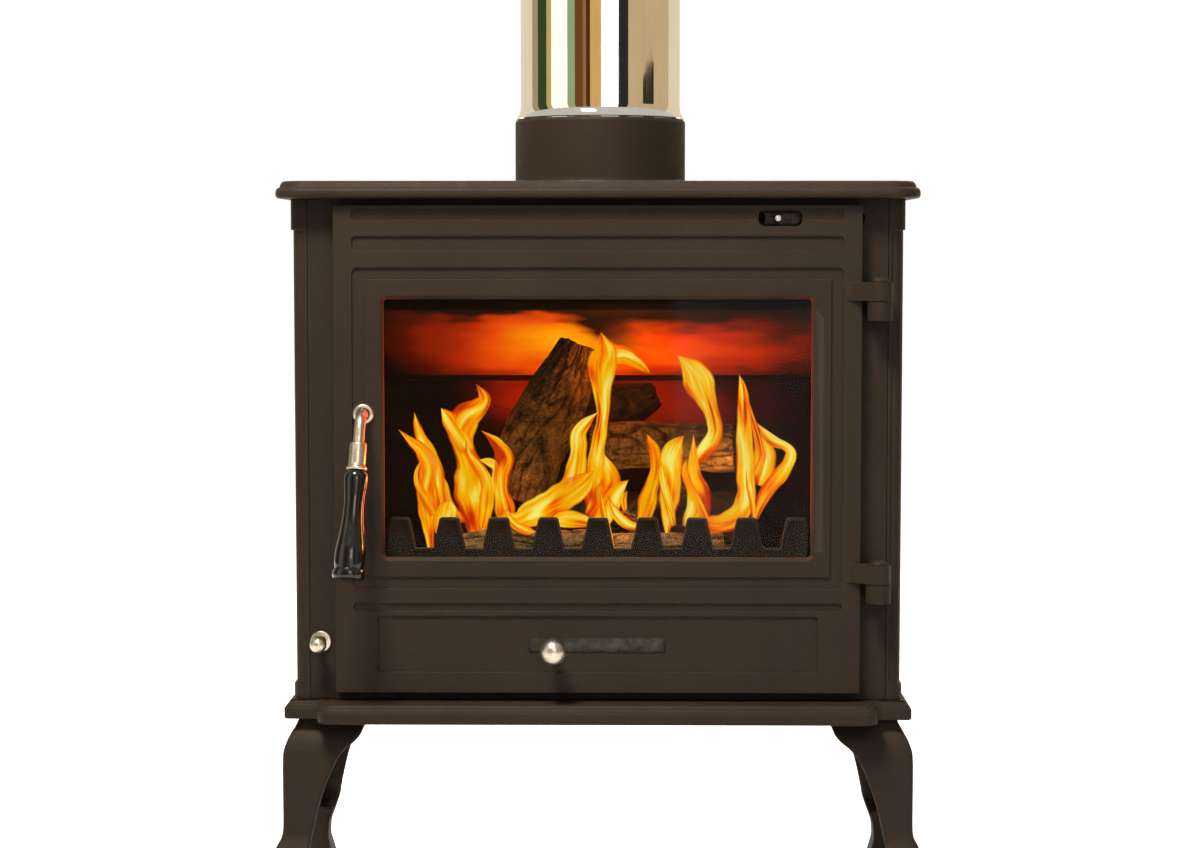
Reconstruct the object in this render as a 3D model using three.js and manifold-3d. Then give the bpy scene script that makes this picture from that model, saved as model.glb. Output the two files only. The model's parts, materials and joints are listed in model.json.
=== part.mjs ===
// A cast-iron wood burning stove on cabriole legs, with a short length of bright flue pipe.
// Units are millimetres. +Z is up, the door faces -Y and X runs to the right as the door is faced.
// While the pieces are made, x = 0 is the middle of the stove, y = 0 the front face of its front
// frame and z = 0 the floor. The last lines move the middle of the footprint to the origin.
import * as THREE from "three";
import { mergeVertices } from "three/addons/utils/BufferGeometryUtils.js";
import Module from "manifold-3d";

const wasm = await Module();
wasm.setup();

// ---------------------------------------------------------------- driving dimensions

const GAP = 0.3; // left between pieces that rest on each other
const CAST = 8; // wall of the iron castings
const FLOAT = 1; // slack of a loose casting inside the body

const BODY_WIDTH = 539;
const BODY_DEPTH = 290;
const BODY_HEIGHT = 441.5; // from the top of the base plate to the underside of the top plate
const CORNER_RADIUS = 10; // upright front corners of the body
const CORNER_RETURN = 15.5; // how far a side panel wraps on to the front

const LEG_HEIGHT = 199;
const LEG_WALL = 9;
const LEG_FLANGE = 10;
const LEG_PROUD = 1.5; // how far the knee stands out past the base plate's edge
const REAR_LEG_SETBACK = 70; // rear legs, in from the base plate's back edge
const LEG_BOLT_IN = 48; // leg bolt from the leg's two outer faces

const BASE_THICKNESS = 16.5;
const BASE_OVERHANG = 7.5; // past the body, at the sides, the back and the front corners
const BREAKFRONT_WIDTH = 490;
const BREAKFRONT_DEPTH = 27; // how far the middle of the base stands in front of its corners

const TOP_THICKNESS = 15;
const TOP_OVERHANG = 12; // at the sides
const TOP_FRONT = 25; // overhang in front
const TOP_BACK = 8;
const TOP_CORNER = 26;

const PIPE_RADIUS = 75;
const PIPE_WALL = 1.6;
const PIPE_LENGTH = 250;
const PIPE_INSERT = 44; // how much of the pipe stands in the collar
const COLLAR_WALL = 4.6;
const COLLAR_FIT = 0.6;
const COLLAR_HEIGHT = 62;
const FLUE_BACK = 190; // from the front frame to the flue's axis

const DOOR_WIDTH = 460;
const DOOR_THICKNESS = 10;
const DOOR_STANDOFF = 4; // between the door's back and the front frame
const DOOR_BOTTOM_GAP = 8.2;
const DOOR_TOP_GAP = 6.2;
const RELIEF = 2.2; // depth of the cast bands and panels

const WINDOW_WIDTH = 373;
const WINDOW_HEIGHT = 226;
const WINDOW_SILL = 119.6; // above the door's bottom edge
const WINDOW_BORDER = 17;
const WINDOW_CHAMFER = 3;
const CHANNEL_WIDTH = 10.5;
const CHANNEL_CORNER = 5; // radius of the channel's outer corners
const GLASS_THICKNESS = 4;
const GLASS_LAP = 8;
const GLASS_FIT = 1.5;
const GASKET_THICKNESS = 2;

const ROPE_RADIUS = 4;
const ROPE_INSET = 8.4; // rope's centre line from the door's edge
const ROPE_CUT = 0.6; // room round the rope in its groove
const ROPE_BEND = 12; // radius of the rope's centre line at its corners

const PANEL_WIDTH = 386;
const PANEL_HEIGHT = 49.7;
const PANEL_BOTTOM = 18.1; // above the door's bottom edge
const AIR_SLOT_WIDTH = 120;
const AIR_SLOT_HEIGHT = 14.8;
const PIN_SLOT_WIDTH = 38;
const PIN_SLOT_HEIGHT = 13.8;
const PIN_SLOT_X = 159;
const PIN_SLOT_DROP = 11.2; // from the door's top edge to the slot's middle

const HINGE_OUT = 15; // from the door's right edge to the hinge axis
const HINGE_FORWARD = 22; // from the front frame to the hinge axis
const HINGE_HEIGHTS = [97.9, 344.1]; // of the joint planes, above the door's bottom edge
const KNUCKLE_RADIUS = 11;
const KNUCKLE_HEIGHT = 16.3;
const HINGE_PIN_RADIUS = 5;
const HINGE_PIN_FIT = 0.35;

const HANDLE_IN = 25.8; // handle axis from the door's left edge
const HANDLE_UP = 245.7; // handle axis above the door's bottom edge
const SPINDLE_RADIUS = 4.7;
const SPINDLE_FIT = 0.5;

const OPENING_WIDTH = 427; // mouth of the front frame
const OPENING_SILL = 21; // above the frame's bottom edge
const OPENING_HEAD = 43; // below the frame's top edge

const GRATE_HEIGHT = 100.5; // top of the grate above the base plate
const GRATE_THICKNESS = 9;
const LINER = 10; // thickness of the firebox liners
const BAFFLE_RISE = 67;
const BAFFLE_RUN = 132;
const BAFFLE_THICKNESS = 9;
const GUARD_TEETH = 9;
const GUARD_PITCH = 44.1;
const GUARD_BAR = 31; // height of the bar under the teeth
const GUARD_GROOVE = 3; // depth of the groove in the grate that holds the log guard
const GUARD_TOOTH = 27.3;
const GUARD_SETBACK = 22; // from the front frame to the log guard
const RIDDLE_TRAVEL = 25;
const PAN_HEIGHT = 54;
const PAN_WALL = 2;

// ---------------------------------------------------------------- derived places

const bodySide = BODY_WIDTH / 2;
const frameSide = bodySide - CORNER_RETURN;
const baseTop = LEG_HEIGHT + BASE_THICKNESS;
const shellBottom = baseTop + GAP;
const shellTop = baseTop + BODY_HEIGHT - GAP;
const plateBottom = baseTop + BODY_HEIGHT;
const plateTop = plateBottom + TOP_THICKNESS;
const innerSide = bodySide - CAST;

const doorBack = -DOOR_STANDOFF;
const doorFace = doorBack - DOOR_THICKNESS;
const doorSide = DOOR_WIDTH / 2;
const doorBottom = baseTop + DOOR_BOTTOM_GAP;
const doorTop = plateBottom - DOOR_TOP_GAP;
const hingeX = doorSide + HINGE_OUT;
const hingeY = -HINGE_FORWARD;
const handleX = HANDLE_IN - doorSide;
const handleZ = doorBottom + HANDLE_UP;
const windowSide = WINDOW_WIDTH / 2;
const windowBottom = doorBottom + WINDOW_SILL;
const windowTop = windowBottom + WINDOW_HEIGHT;
const channelOut = WINDOW_BORDER + CHANNEL_WIDTH;
const panelBottom = doorBottom + PANEL_BOTTOM;
const airSlotZ = panelBottom + PANEL_HEIGHT / 2 - 2;
const pinSlotZ = doorTop - PIN_SLOT_DROP;

const openingSide = OPENING_WIDTH / 2;
const openingBottom = shellBottom + OPENING_SILL;
const openingTop = shellTop - OPENING_HEAD;

const panFloor = openingBottom + 1;
const grateTop = baseTop + GRATE_HEIGHT;
const fireFloor = grateTop + GAP;
const innerBack = BODY_DEPTH - CAST;
const collarInner = PIPE_RADIUS + COLLAR_FIT;
const collarOuter = collarInner + COLLAR_WALL;

// ---------------------------------------------------------------- materials

function material(color, roughness, metalness) {
  return new THREE.MeshStandardMaterial({ color, roughness, metalness });
}
const castIron = material(0x3d342c, 0.72, 0.35);
const hotIron = material(0x2a211c, 0.9, 0.2);
const brightSteel = material(0xd9d2c6, 0.12, 1);
const satinSteel = material(0xb9b0a0, 0.35, 1);
const plainSteel = material(0x5c5852, 0.5, 0.9);
const glossBlack = material(0x0d0b0a, 0.15, 0);
const linerIron = material(0x4a2a1e, 0.85, 0.3);
const ropeFibre = material(0x2b2826, 1, 0);
const heatGlass = new THREE.MeshStandardMaterial({
  color: 0xfff4e4,
  roughness: 0.05,
  metalness: 0,
  transparent: true,
  opacity: 0.15,
});

// ---------------------------------------------------------------- solid geometry helpers

const AXIS_Y = new THREE.Vector3(0, 1, 0);

function toSolid(geometry) {
  const loose = geometry.index ? geometry.toNonIndexed() : geometry.clone();
  loose.deleteAttribute("normal");
  loose.deleteAttribute("uv");
  const merged = mergeVertices(loose, 1e-4);
  const mesh = new wasm.Mesh({
    numProp: 3,
    vertProperties: merged.attributes.position.array,
    triVerts: new Uint32Array(merged.index.array),
  });
  return new wasm.Manifold(mesh);
}

function toGeometry(solid) {
  const mesh = solid.getMesh();
  const geometry = new THREE.BufferGeometry();
  geometry.setAttribute("position", new THREE.BufferAttribute(mesh.vertProperties, 3));
  geometry.setIndex(new THREE.BufferAttribute(mesh.triVerts, 1));
  return geometry;
}

function join(...pieces) {
  return toGeometry(pieces.map(toSolid).reduce((whole, piece) => whole.add(piece)));
}

function cut(piece, ...tools) {
  return toGeometry(tools.map(toSolid).reduce((left, tool) => left.subtract(tool), toSolid(piece)));
}

function common(one, other) {
  return toGeometry(toSolid(one).intersect(toSolid(other)));
}

// A block between two corners.
function block(x0, x1, y0, y1, z0, z1) {
  const box = new THREE.BoxGeometry(x1 - x0, y1 - y0, z1 - z0);
  return box.translate((x0 + x1) / 2, (y0 + y1) / 2, (z0 + z1) / 2);
}

// A round bar from one point to another, which may taper to endRadius.
function bar(radius, start, end, sides = 16, endRadius = radius) {
  const from = new THREE.Vector3(...start);
  const to = new THREE.Vector3(...end);
  const turn = new THREE.Quaternion().setFromUnitVectors(AXIS_Y, to.clone().sub(from).normalize());
  const middle = from.clone().add(to).divideScalar(2);
  return new THREE.CylinderGeometry(endRadius, radius, from.distanceTo(to), sides)
    .applyQuaternion(turn)
    .translate(middle.x, middle.y, middle.z);
}

function roundedRect(x0, x1, y0, y1, radius) {
  const shape = new THREE.Shape();
  if (radius <= 0) {
    return shape.moveTo(x0, y0).lineTo(x1, y0).lineTo(x1, y1).lineTo(x0, y1);
  }
  shape.absarc(x1 - radius, y0 + radius, radius, -Math.PI / 2, 0);
  shape.absarc(x1 - radius, y1 - radius, radius, 0, Math.PI / 2);
  shape.absarc(x0 + radius, y1 - radius, radius, Math.PI / 2, Math.PI);
  shape.absarc(x0 + radius, y0 + radius, radius, Math.PI, 1.5 * Math.PI);
  return shape;
}

function extrude(shape, depth, curveSegments = 6) {
  return new THREE.ExtrudeGeometry(shape, { depth, bevelEnabled: false, curveSegments });
}

// A shape drawn in x and z, standing upright between two values of y.
function upright(shape, y0, y1, curveSegments) {
  return extrude(shape, y1 - y0, curveSegments).rotateX(Math.PI / 2).translate(0, y1, 0);
}

// A shape drawn in y and z, standing upright between two values of x.
function sideways(shape, x0, x1, curveSegments) {
  return extrude(shape, x1 - x0, curveSegments)
    .rotateX(Math.PI / 2)
    .rotateZ(Math.PI / 2)
    .translate(x0, 0, 0);
}

// A shape drawn in x and y, lying flat between two values of z.
function flat(shape, z0, z1, curveSegments) {
  return extrude(shape, z1 - z0, curveSegments).translate(0, 0, z0);
}

function plate(x0, x1, z0, z1, y0, y1, radius = 0) {
  return upright(roundedRect(x0, x1, z0, z1, radius), y0, y1, 3);
}

// A rectangular ring in x and z, standing upright between two values of y.
function uprightRing(side, bottom, top, width, radius, y0, y1) {
  const shape = roundedRect(-side, side, bottom, top, radius);
  const inner = roundedRect(width - side, side - width, bottom + width, top - width, radius - width);
  shape.holes.push(inner);
  return upright(shape, y0, y1, 4);
}

// A profile of [radius, height] points turned about the z axis.
function turned(profile, segments = 32) {
  const points = profile.map(([radius, height]) => new THREE.Vector2(radius, height));
  return new THREE.LatheGeometry(points, segments).rotateX(Math.PI / 2);
}

// The points of a closed shape, each of them once.
function outlineOf(shape, divisions) {
  const points = shape.getPoints(divisions);
  const isNew = (point, i) => i === 0 || point.distanceTo(points[i - 1]) > 1e-6;
  const outline = points.filter(isNew);
  if (outline[0].distanceTo(outline[outline.length - 1]) < 1e-6) outline.pop();
  return outline;
}

// The outline moved inwards by a distance, with the same number of points.
function inset(outline, distance) {
  const count = outline.length;
  return outline.map((point, i) => {
    const before = outline[(i + count - 1) % count];
    const after = outline[(i + 1) % count];
    const into = point.clone().sub(before).normalize();
    const out = after.clone().sub(point).normalize();
    const normal = new THREE.Vector2(-into.y - out.y, into.x + out.x).normalize();
    const stretch = normal.x * -out.y + normal.y * out.x;
    return point.clone().addScaledVector(normal, distance / stretch);
  });
}

// A slab whose edge follows a profile of [inset, height] steps from its bottom to its top.
function profiledSlab(outline, bottom, profile) {
  const count = outline.length;
  const corners = [];
  const faces = [];
  for (const [distance, height] of profile) {
    for (const point of inset(outline, distance)) {
      corners.push(point.x, point.y, bottom + height);
    }
  }
  for (let ring = 0; ring < profile.length - 1; ring++) {
    for (let i = 0; i < count; i++) {
      const a = ring * count + i;
      const b = ring * count + ((i + 1) % count);
      faces.push(a, b, b + count, a, b + count, a + count);
    }
  }
  const last = (profile.length - 1) * count;
  for (const [a, b, c] of THREE.ShapeUtils.triangulateShape(outline, [])) {
    faces.push(a, c, b, last + a, last + b, last + c);
  }
  const geometry = new THREE.BufferGeometry();
  geometry.setAttribute("position", new THREE.Float32BufferAttribute(corners, 3));
  geometry.setIndex(faces);
  return geometry;
}

const stove = new THREE.Group();

function add(name, geometry, look, parent = stove) {
  const mesh = new THREE.Mesh(geometry, look);
  mesh.name = name;
  parent.add(mesh);
  return mesh;
}

// ---------------------------------------------------------------- base plate and top plate

const baseSide = bodySide + BASE_OVERHANG;
const baseBack = BODY_DEPTH + BASE_OVERHANG;
const cornerFront = -BASE_OVERHANG - 2.5;

function baseOutline() {
  const cove = 7; // radius of the step between the corners and the middle
  const corner = 5;
  const half = BREAKFRONT_WIDTH / 2;
  const middleFront = cornerFront - BREAKFRONT_DEPTH;
  const shape = new THREE.Shape();
  shape.moveTo(-baseSide, baseBack);
  shape.lineTo(-baseSide, cornerFront + corner);
  shape.absarc(-baseSide + corner, cornerFront + corner, corner, Math.PI, 1.5 * Math.PI);
  shape.absarc(-half - cove, cornerFront - cove, cove, Math.PI / 2, 0, true);
  shape.absarc(-half + 12, middleFront + 12, 12, Math.PI, 1.5 * Math.PI);
  shape.absarc(half - 12, middleFront + 12, 12, -Math.PI / 2, 0);
  shape.absarc(half + cove, cornerFront - cove, cove, Math.PI, Math.PI / 2, true);
  shape.absarc(baseSide - corner, cornerFront + corner, corner, -Math.PI / 2, 0);
  shape.lineTo(baseSide, baseBack);
  return outlineOf(shape, 3);
}

// The two outer faces of each leg meet at its knee, which stands proud of the base plate.
const kneeSide = baseSide + LEG_PROUD;
const kneeFront = cornerFront - LEG_PROUD;
const kneeBack = baseBack - REAR_LEG_SETBACK;
const legBoltSpots = [-1, 1].flatMap((side) =>
  [kneeFront + LEG_BOLT_IN, kneeBack - LEG_BOLT_IN].map((y, end) => {
    return { side, end, x: side * (kneeSide - LEG_BOLT_IN), y };
  }),
);
const TIE_ROD_IN = 12; // tie rod's axis from the inside of the front frame and of the back panel
const TIE_ROD_X = innerSide - 8;
const tieRodSpots = [-1, 1].flatMap((side) =>
  [CAST + TIE_ROD_IN, innerBack - TIE_ROD_IN].map((y, end) => {
    return { side, end, x: side * TIE_ROD_X, y };
  }),
);
const BOLT_RADIUS = 4;
const BOLT_FIT = 0.4;
const HEAD_HEIGHT = 5.5;
const HEAD_RADIUS = 7; // across a bolt head's corners, halved
const HEAD_RECESS = HEAD_HEIGHT + 2 * GAP; // depth of the recess that hides a tie rod's head

function boltHole({ x, y }, z0, z1) {
  return bar(BOLT_RADIUS + BOLT_FIT, [x, y, z0], [x, y, z1], 16);
}

const baseProfile = [
  [1.2, 0],
  [0, 1.2],
  [0, 9.5],
  [1.6, 10.4],
  [2.4, 12.6],
  [4.6, 13.8],
  [5.6, 14.4],
  [6.4, BASE_THICKNESS],
];
const RUNNER_X = 110; // the ash pan's two runners, from the middle

function basePlateGeometry() {
  const slab = profiledSlab(baseOutline(), LEG_HEIGHT, baseProfile);
  const runners = [-1, 1].map((way) => {
    const x = way * RUNNER_X;
    return block(x - 5, x + 5, CAST + 10, innerBack - 16, baseTop - 1, panFloor - GAP);
  });
  const holes = [...legBoltSpots, ...tieRodSpots].map((spot) =>
    boltHole(spot, LEG_HEIGHT - 1, baseTop + 1),
  );
  const recesses = tieRodSpots.map(({ x, y }) =>
    bar(HEAD_RADIUS + 1, [x, y, LEG_HEIGHT - 1], [x, y, LEG_HEIGHT + HEAD_RECESS], 16),
  );
  return cut(join(slab, ...runners), ...holes, ...recesses);
}
add("base_plate", basePlateGeometry(), castIron);

function topOutline() {
  const side = bodySide + TOP_OVERHANG;
  return outlineOf(roundedRect(-side, side, -TOP_FRONT, BODY_DEPTH + TOP_BACK, TOP_CORNER), 5);
}

const topProfile = [
  [2.5, 0],
  [0.6, 1.4],
  [0, 3],
  [0, 6.4],
  [0.9, 8],
  [2.8, 9],
  [4.2, 11.5],
  [5.2, 13.8],
  [7, TOP_THICKNESS],
];
const flueHole = bar(
  collarInner - 3,
  [0, FLUE_BACK, plateBottom - 1],
  [0, FLUE_BACK, plateTop + 1],
  40,
);
const topHoles = tieRodSpots.map((spot) => boltHole(spot, plateBottom - 1, plateBottom + 6));
add(
  "top_plate",
  cut(profiledSlab(topOutline(), plateBottom, topProfile), flueHole, ...topHoles),
  castIron,
);

// ---------------------------------------------------------------- side panels

const stripTop = shellTop - 27.2;
const stripBottom = shellBottom + 13.2;
const ledgeTop = grateTop - GRATE_THICKNESS - GAP;

// The plan of a side panel's outer skin, on the right-hand side, from its front edge to its back.
function sidePlan(outside, inside, front, back) {
  const shape = new THREE.Shape();
  const radius = Math.max(CORNER_RADIUS - (bodySide - outside), 1);
  shape.moveTo(frameSide + GAP, inside);
  shape.lineTo(frameSide + GAP, front);
  shape.absarc(outside - radius, front + radius, radius, -Math.PI / 2, 0);
  shape.lineTo(outside, back);
  shape.lineTo(outside - (bodySide - innerSide), back);
  shape.lineTo(outside - (bodySide - innerSide), inside);
  return shape;
}

function sidePanelGeometry() {
  const shell = flat(sidePlan(bodySide, CAST, 0, BODY_DEPTH), shellBottom, shellTop, 6);
  const deep = sidePlan(bodySide - RELIEF, CAST + 30, RELIEF, 26);
  const corner = plate(frameSide + 3, bodySide + 12, stripBottom, stripTop, -2, 26, 5);
  const strip = cut(corner, flat(deep, stripBottom - 1, stripTop + 1, 6));
  const field = roundedRect(40, BODY_DEPTH - 22, stripBottom, stripTop, 6);
  const border = sideways(field, bodySide - RELIEF, bodySide + 2, 4);
  const island = roundedRect(52, BODY_DEPTH - 34, stripBottom + 12, stripTop - 12, 4);
  const raised = sideways(island, bodySide - RELIEF - 1, bodySide + 3, 4);
  const ledge = block(innerSide - 11, innerSide + 1, 34, innerBack - 26, ledgeTop - CAST, ledgeTop);
  return join(cut(shell, strip, cut(border, raised)), ledge);
}

const rightSide = sidePanelGeometry();
add("right_side_panel", rightSide, castIron);
const leftSide = add("left_side_panel", rightSide.clone(), castIron);
leftSide.scale.x = -1;

// ---------------------------------------------------------------- front frame

const RIDDLE_ROD = 4;
const riddleX = BOLT_RADIUS + RIDDLE_ROD + FLOAT - TIE_ROD_X; // just clear of the tie rod
const riddleZ = baseTop + 51.5;
const PIN_RADIUS = 2.6;
const latchReach = 12.4;

// The half of a hinge that belongs to the frame: a knuckle on a web.
function frameLug(joint) {
  const top = joint - GAP;
  const bottom = top - KNUCKLE_HEIGHT;
  const knuckle = bar(KNUCKLE_RADIUS, [hingeX, hingeY, bottom], [hingeX, hingeY, top], 24);
  const web = block(hingeX - 8, frameSide - 0.5, hingeY, 1, bottom, top);
  const bore = bar(
    HINGE_PIN_RADIUS + GAP,
    [hingeX, hingeY, bottom - 1],
    [hingeX, hingeY, top + 1],
  );
  return cut(join(knuckle, web), bore);
}

const hingeJoints = HINGE_HEIGHTS.map((height) => doorBottom + height);

// Two rails behind the frame's head that the upper air slider runs between.
const sliderTop = pinSlotZ + 10;
const sliderBottom = pinSlotZ - 10;
const sliderRails = [
  [sliderTop + 0.6, sliderTop + 4],
  [sliderBottom - 4, sliderBottom - 0.6],
].map(([low, high]) => block(PIN_SLOT_X - 62, PIN_SLOT_X + 62, CAST - 1, CAST + 5, low, high));

function frontFrameGeometry() {
  const sheet = block(-frameSide, frameSide, 0, CAST, shellBottom, shellTop);
  const mouth = plate(
    -openingSide,
    openingSide,
    openingBottom,
    openingTop,
    -1,
    CAST + 1,
    12,
  );
  const notch = block(
    handleX - latchReach - 1.2,
    handleX,
    -1,
    CAST + 1,
    handleZ - 18,
    handleZ + 18,
  );
  const riddleHole = bar(RIDDLE_ROD + 0.6, [riddleX, -2, riddleZ], [riddleX, CAST + 2, riddleZ]);
  const pinSlot = plate(
    PIN_SLOT_X - PIN_SLOT_WIDTH / 2,
    PIN_SLOT_X + PIN_SLOT_WIDTH / 2,
    pinSlotZ - 4.5,
    pinSlotZ + 4.5,
    -1,
    CAST + 1,
    4,
  );
  const vents = [-3, -2, -1, 1].map((step) => {
    const x = PIN_SLOT_X + step * 58;
    return plate(x - 16, x + 16, pinSlotZ - 5, pinSlotZ + 5, -1, CAST + 1, 4);
  });
  const lugs = hingeJoints.map(frameLug);
  return join(cut(sheet, mouth, notch, riddleHole, pinSlot, ...vents), ...lugs, ...sliderRails);
}
add("front_frame", frontFrameGeometry(), castIron);

// ---------------------------------------------------------------- back panel and blanking plate

const outletZ = plateBottom - 118;
const OUTLET_RADIUS = 72;
const blankBoltSpots = [-1, 1].map((side) => ({ x: side * (OUTLET_RADIUS + 9), z: outletZ }));

function backPanelGeometry() {
  const side = innerSide - GAP;
  const sheet = block(-side, side, innerBack, BODY_DEPTH, shellBottom, shellTop);
  const ribs = [-1, 1].map((way) => {
    const x = way * (side - 45);
    return block(x - 5, x + 5, BODY_DEPTH - 1, BODY_DEPTH + 5, shellBottom + 40, shellTop - 30);
  });
  const outlet = bar(
    OUTLET_RADIUS,
    [0, innerBack - 1, outletZ],
    [0, BODY_DEPTH + 1, outletZ],
    40,
  );
  const holes = blankBoltSpots.map(({ x, z }) =>
    bar(BOLT_RADIUS + BOLT_FIT, [x, innerBack - 1, z], [x, BODY_DEPTH + 1, z], 16),
  );
  return cut(join(sheet, ...ribs), outlet, ...holes);
}
add("back_panel", backPanelGeometry(), castIron);

const BLANK_THICKNESS = 6;
const blankProfile = [
  [0, 0],
  [OUTLET_RADIUS + 18, 0],
  [OUTLET_RADIUS + 18, BLANK_THICKNESS - 1.5],
  [OUTLET_RADIUS + 16.5, BLANK_THICKNESS],
  [46, BLANK_THICKNESS],
  [43, BLANK_THICKNESS + 3],
  [0, BLANK_THICKNESS + 3],
];
const blankHoles = blankBoltSpots.map(({ x }) =>
  bar(BOLT_RADIUS + BOLT_FIT, [x, 0, -1], [x, 0, BLANK_THICKNESS + 1], 16),
);
const blank = add("rear_blanking_plate", cut(turned(blankProfile, 40), ...blankHoles), castIron);
blank.rotation.x = -Math.PI / 2;
blank.position.set(0, BODY_DEPTH + GAP, outletZ);

// ---------------------------------------------------------------- bolts and tie rods

// A hexagon-headed bolt with its head's seat at z = 0 and its shank running up.
function boltGeometry(length) {
  const hexagon = bar(HEAD_RADIUS, [0, 0, -HEAD_HEIGHT], [0, 0, 0], 6);
  return join(hexagon, bar(BOLT_RADIUS, [0, 0, -1], [0, 0, length], 12));
}

const corners = ["front", "rear"];
const sides = { "-1": "left", 1: "right" };

for (const { side, end, x, y } of legBoltSpots) {
  const bolt = add(
    `${corners[end]}_${sides[side]}_leg_bolt`,
    boltGeometry(LEG_FLANGE + BASE_THICKNESS - 2),
    plainSteel,
  );
  bolt.position.set(x, y, LEG_HEIGHT - GAP - LEG_FLANGE - GAP);
}

const tieTop = plateBottom + 4.5;
const tieSeat = LEG_HEIGHT + HEAD_RECESS - GAP;
for (const { side, end, x, y } of tieRodSpots) {
  const tie = add(
    `${corners[end]}_${sides[side]}_tie_rod`,
    boltGeometry(tieTop - tieSeat),
    plainSteel,
  );
  tie.position.set(x, y, tieSeat);
}

blankBoltSpots.forEach(({ x, z }, i) => {
  const bolt = add(
    `blanking_bolt_${i + 1}`,
    boltGeometry(CAST + BLANK_THICKNESS + 3),
    plainSteel,
  );
  bolt.rotation.x = Math.PI / 2;
  bolt.position.set(x, BODY_DEPTH + GAP + BLANK_THICKNESS + GAP, z);
});

// ---------------------------------------------------------------- legs

// A leg's outline in [inward, height], seen square on: inward is measured from the knee. It is
// drawn for a leg of one height, and a taller or shorter leg stretches it.
const LEG_DRAWN = 199;
const outerCurve = [
  [13, LEG_DRAWN],
  [12, 194],
  [6, 184],
  [0.6, 171],
  [0, 150],
  [0, 108],
  [-1, 94],
  [-7, 83],
  [-14, 66],
  [-17, 42],
  [-23, 16],
  [-25, 0],
];
const innerCurve = [
  [20, 0],
  [20, 12],
  [13, 36],
  [14, 56],
  [22, 76],
  [25, 90],
  [29, 109],
  [34.5, 130],
  [43, 152],
  [52, 169],
  [62, 177],
  [69, 184],
  [72, 192],
  [73, LEG_DRAWN],
];

function legPoint([inward, height]) {
  return new THREE.Vector2(inward, (height * (LEG_HEIGHT - GAP)) / LEG_DRAWN);
}

function legCurve(points, shift) {
  const curve = new THREE.SplineCurve(points.map(legPoint));
  return curve.getPoints(18).map((point) => new THREE.Vector2(point.x + shift, point.y));
}

function legProfile() {
  return new THREE.Shape([...legCurve(outerCurve, 0), ...legCurve(innerCurve, 0)].reverse());
}

// What is hollow behind the leg's two outer walls, from the ankle to the flange.
function hollowProfile() {
  const ankle = LEG_HEIGHT * 0.35;
  const wall = legCurve(outerCurve, LEG_WALL).filter(
    (point) => point.y > ankle && point.y < LEG_HEIGHT - LEG_FLANGE - GAP - 4,
  );
  const first = wall[0];
  const last = wall[wall.length - 1];
  const far = 120;
  const top = LEG_HEIGHT - GAP - LEG_FLANGE;
  return new THREE.Shape([
    new THREE.Vector2(far, top),
    new THREE.Vector2(first.x, top),
    ...wall,
    new THREE.Vector2(last.x + 8, ankle),
    new THREE.Vector2(far, ankle),
  ].reverse());
}

// A front left leg whose knee corner is at x = 0, y = 0, with its foot on z = 0.
function legGeometry() {
  const reach = 60;
  const solid = common(
    upright(legProfile(), -reach, 2 * reach),
    sideways(legProfile(), -reach, 2 * reach),
  );
  const hollow = common(
    upright(hollowProfile(), -reach, 2 * reach),
    sideways(hollowProfile(), -reach, 2 * reach),
  );
  const hole = boltHole({ x: LEG_BOLT_IN, y: LEG_BOLT_IN }, LEG_HEIGHT - 20, LEG_HEIGHT + 2);
  return cut(solid, hollow, hole);
}

const leg = legGeometry();
for (const [name, turn, x, y] of [
  ["front_left_leg", 0, -kneeSide, kneeFront],
  ["front_right_leg", Math.PI / 2, kneeSide, kneeFront],
  ["rear_right_leg", Math.PI, kneeSide, kneeBack],
  ["rear_left_leg", -Math.PI / 2, -kneeSide, kneeBack],
]) {
  const mesh = add(name, leg, castIron);
  mesh.rotation.z = turn;
  mesh.position.set(x, y, 0);
}

// ---------------------------------------------------------------- flue collar and pipe

const collar = add(
  "flue_collar",
  turned(
    [
      [collarInner, 0],
      [collarOuter + 3, 0],
      [collarOuter + 3, 1],
      [collarOuter + 1.2, 2.2],
      [collarOuter + 0.3, 4],
      [collarOuter, COLLAR_HEIGHT - 2.5],
      [collarOuter - 1, COLLAR_HEIGHT - 0.6],
      [collarOuter - 2, COLLAR_HEIGHT],
      [collarInner, COLLAR_HEIGHT],
      [collarInner, 0],
    ],
    40,
  ),
  castIron,
);
collar.position.set(0, FLUE_BACK, plateTop + GAP);

const pipeInner = PIPE_RADIUS - PIPE_WALL;
const skirt = PIPE_INSERT + GAP;
const pipe = add(
  "flue_pipe",
  turned(
    [
      [pipeInner, 0],
      [PIPE_RADIUS, 0],
      [PIPE_RADIUS, skirt],
      [collarOuter - 1.2, skirt],
      [collarOuter - 0.8, skirt + 1.2],
      [PIPE_RADIUS + 1.6, skirt + 5],
      [PIPE_RADIUS, skirt + 10],
      [PIPE_RADIUS, PIPE_LENGTH],
      [pipeInner, PIPE_LENGTH],
      [pipeInner, 0],
    ],
    40,
  ),
  brightSteel,
);
pipe.position.set(0, FLUE_BACK, plateTop + GAP + COLLAR_HEIGHT - PIPE_INSERT);

// ---------------------------------------------------------------- firebox

const sideLinerFront = 36;
const sideLinerBack = innerBack - 26;
const backLinerTop = baseTop + 268;
const backLinerBack = innerBack - FLOAT - 4;
const backLinerFront = backLinerBack - LINER;

// The baffle leans forward from just above the back liner and leaves the smoke a way round its
// front. Its underside runs from baffleLow at its back to baffleHigh at its front edge.
const baffleSlope = Math.atan2(BAFFLE_RISE, BAFFLE_RUN);
const BAFFLE_LIFT = 6; // slot between the back liner and the baffle
const baffleLow = { y: backLinerFront - 2, z: backLinerTop + BAFFLE_LIFT };
const baffleHigh = { y: baffleLow.y - BAFFLE_RUN, z: baffleLow.z + BAFFLE_RISE };

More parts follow.
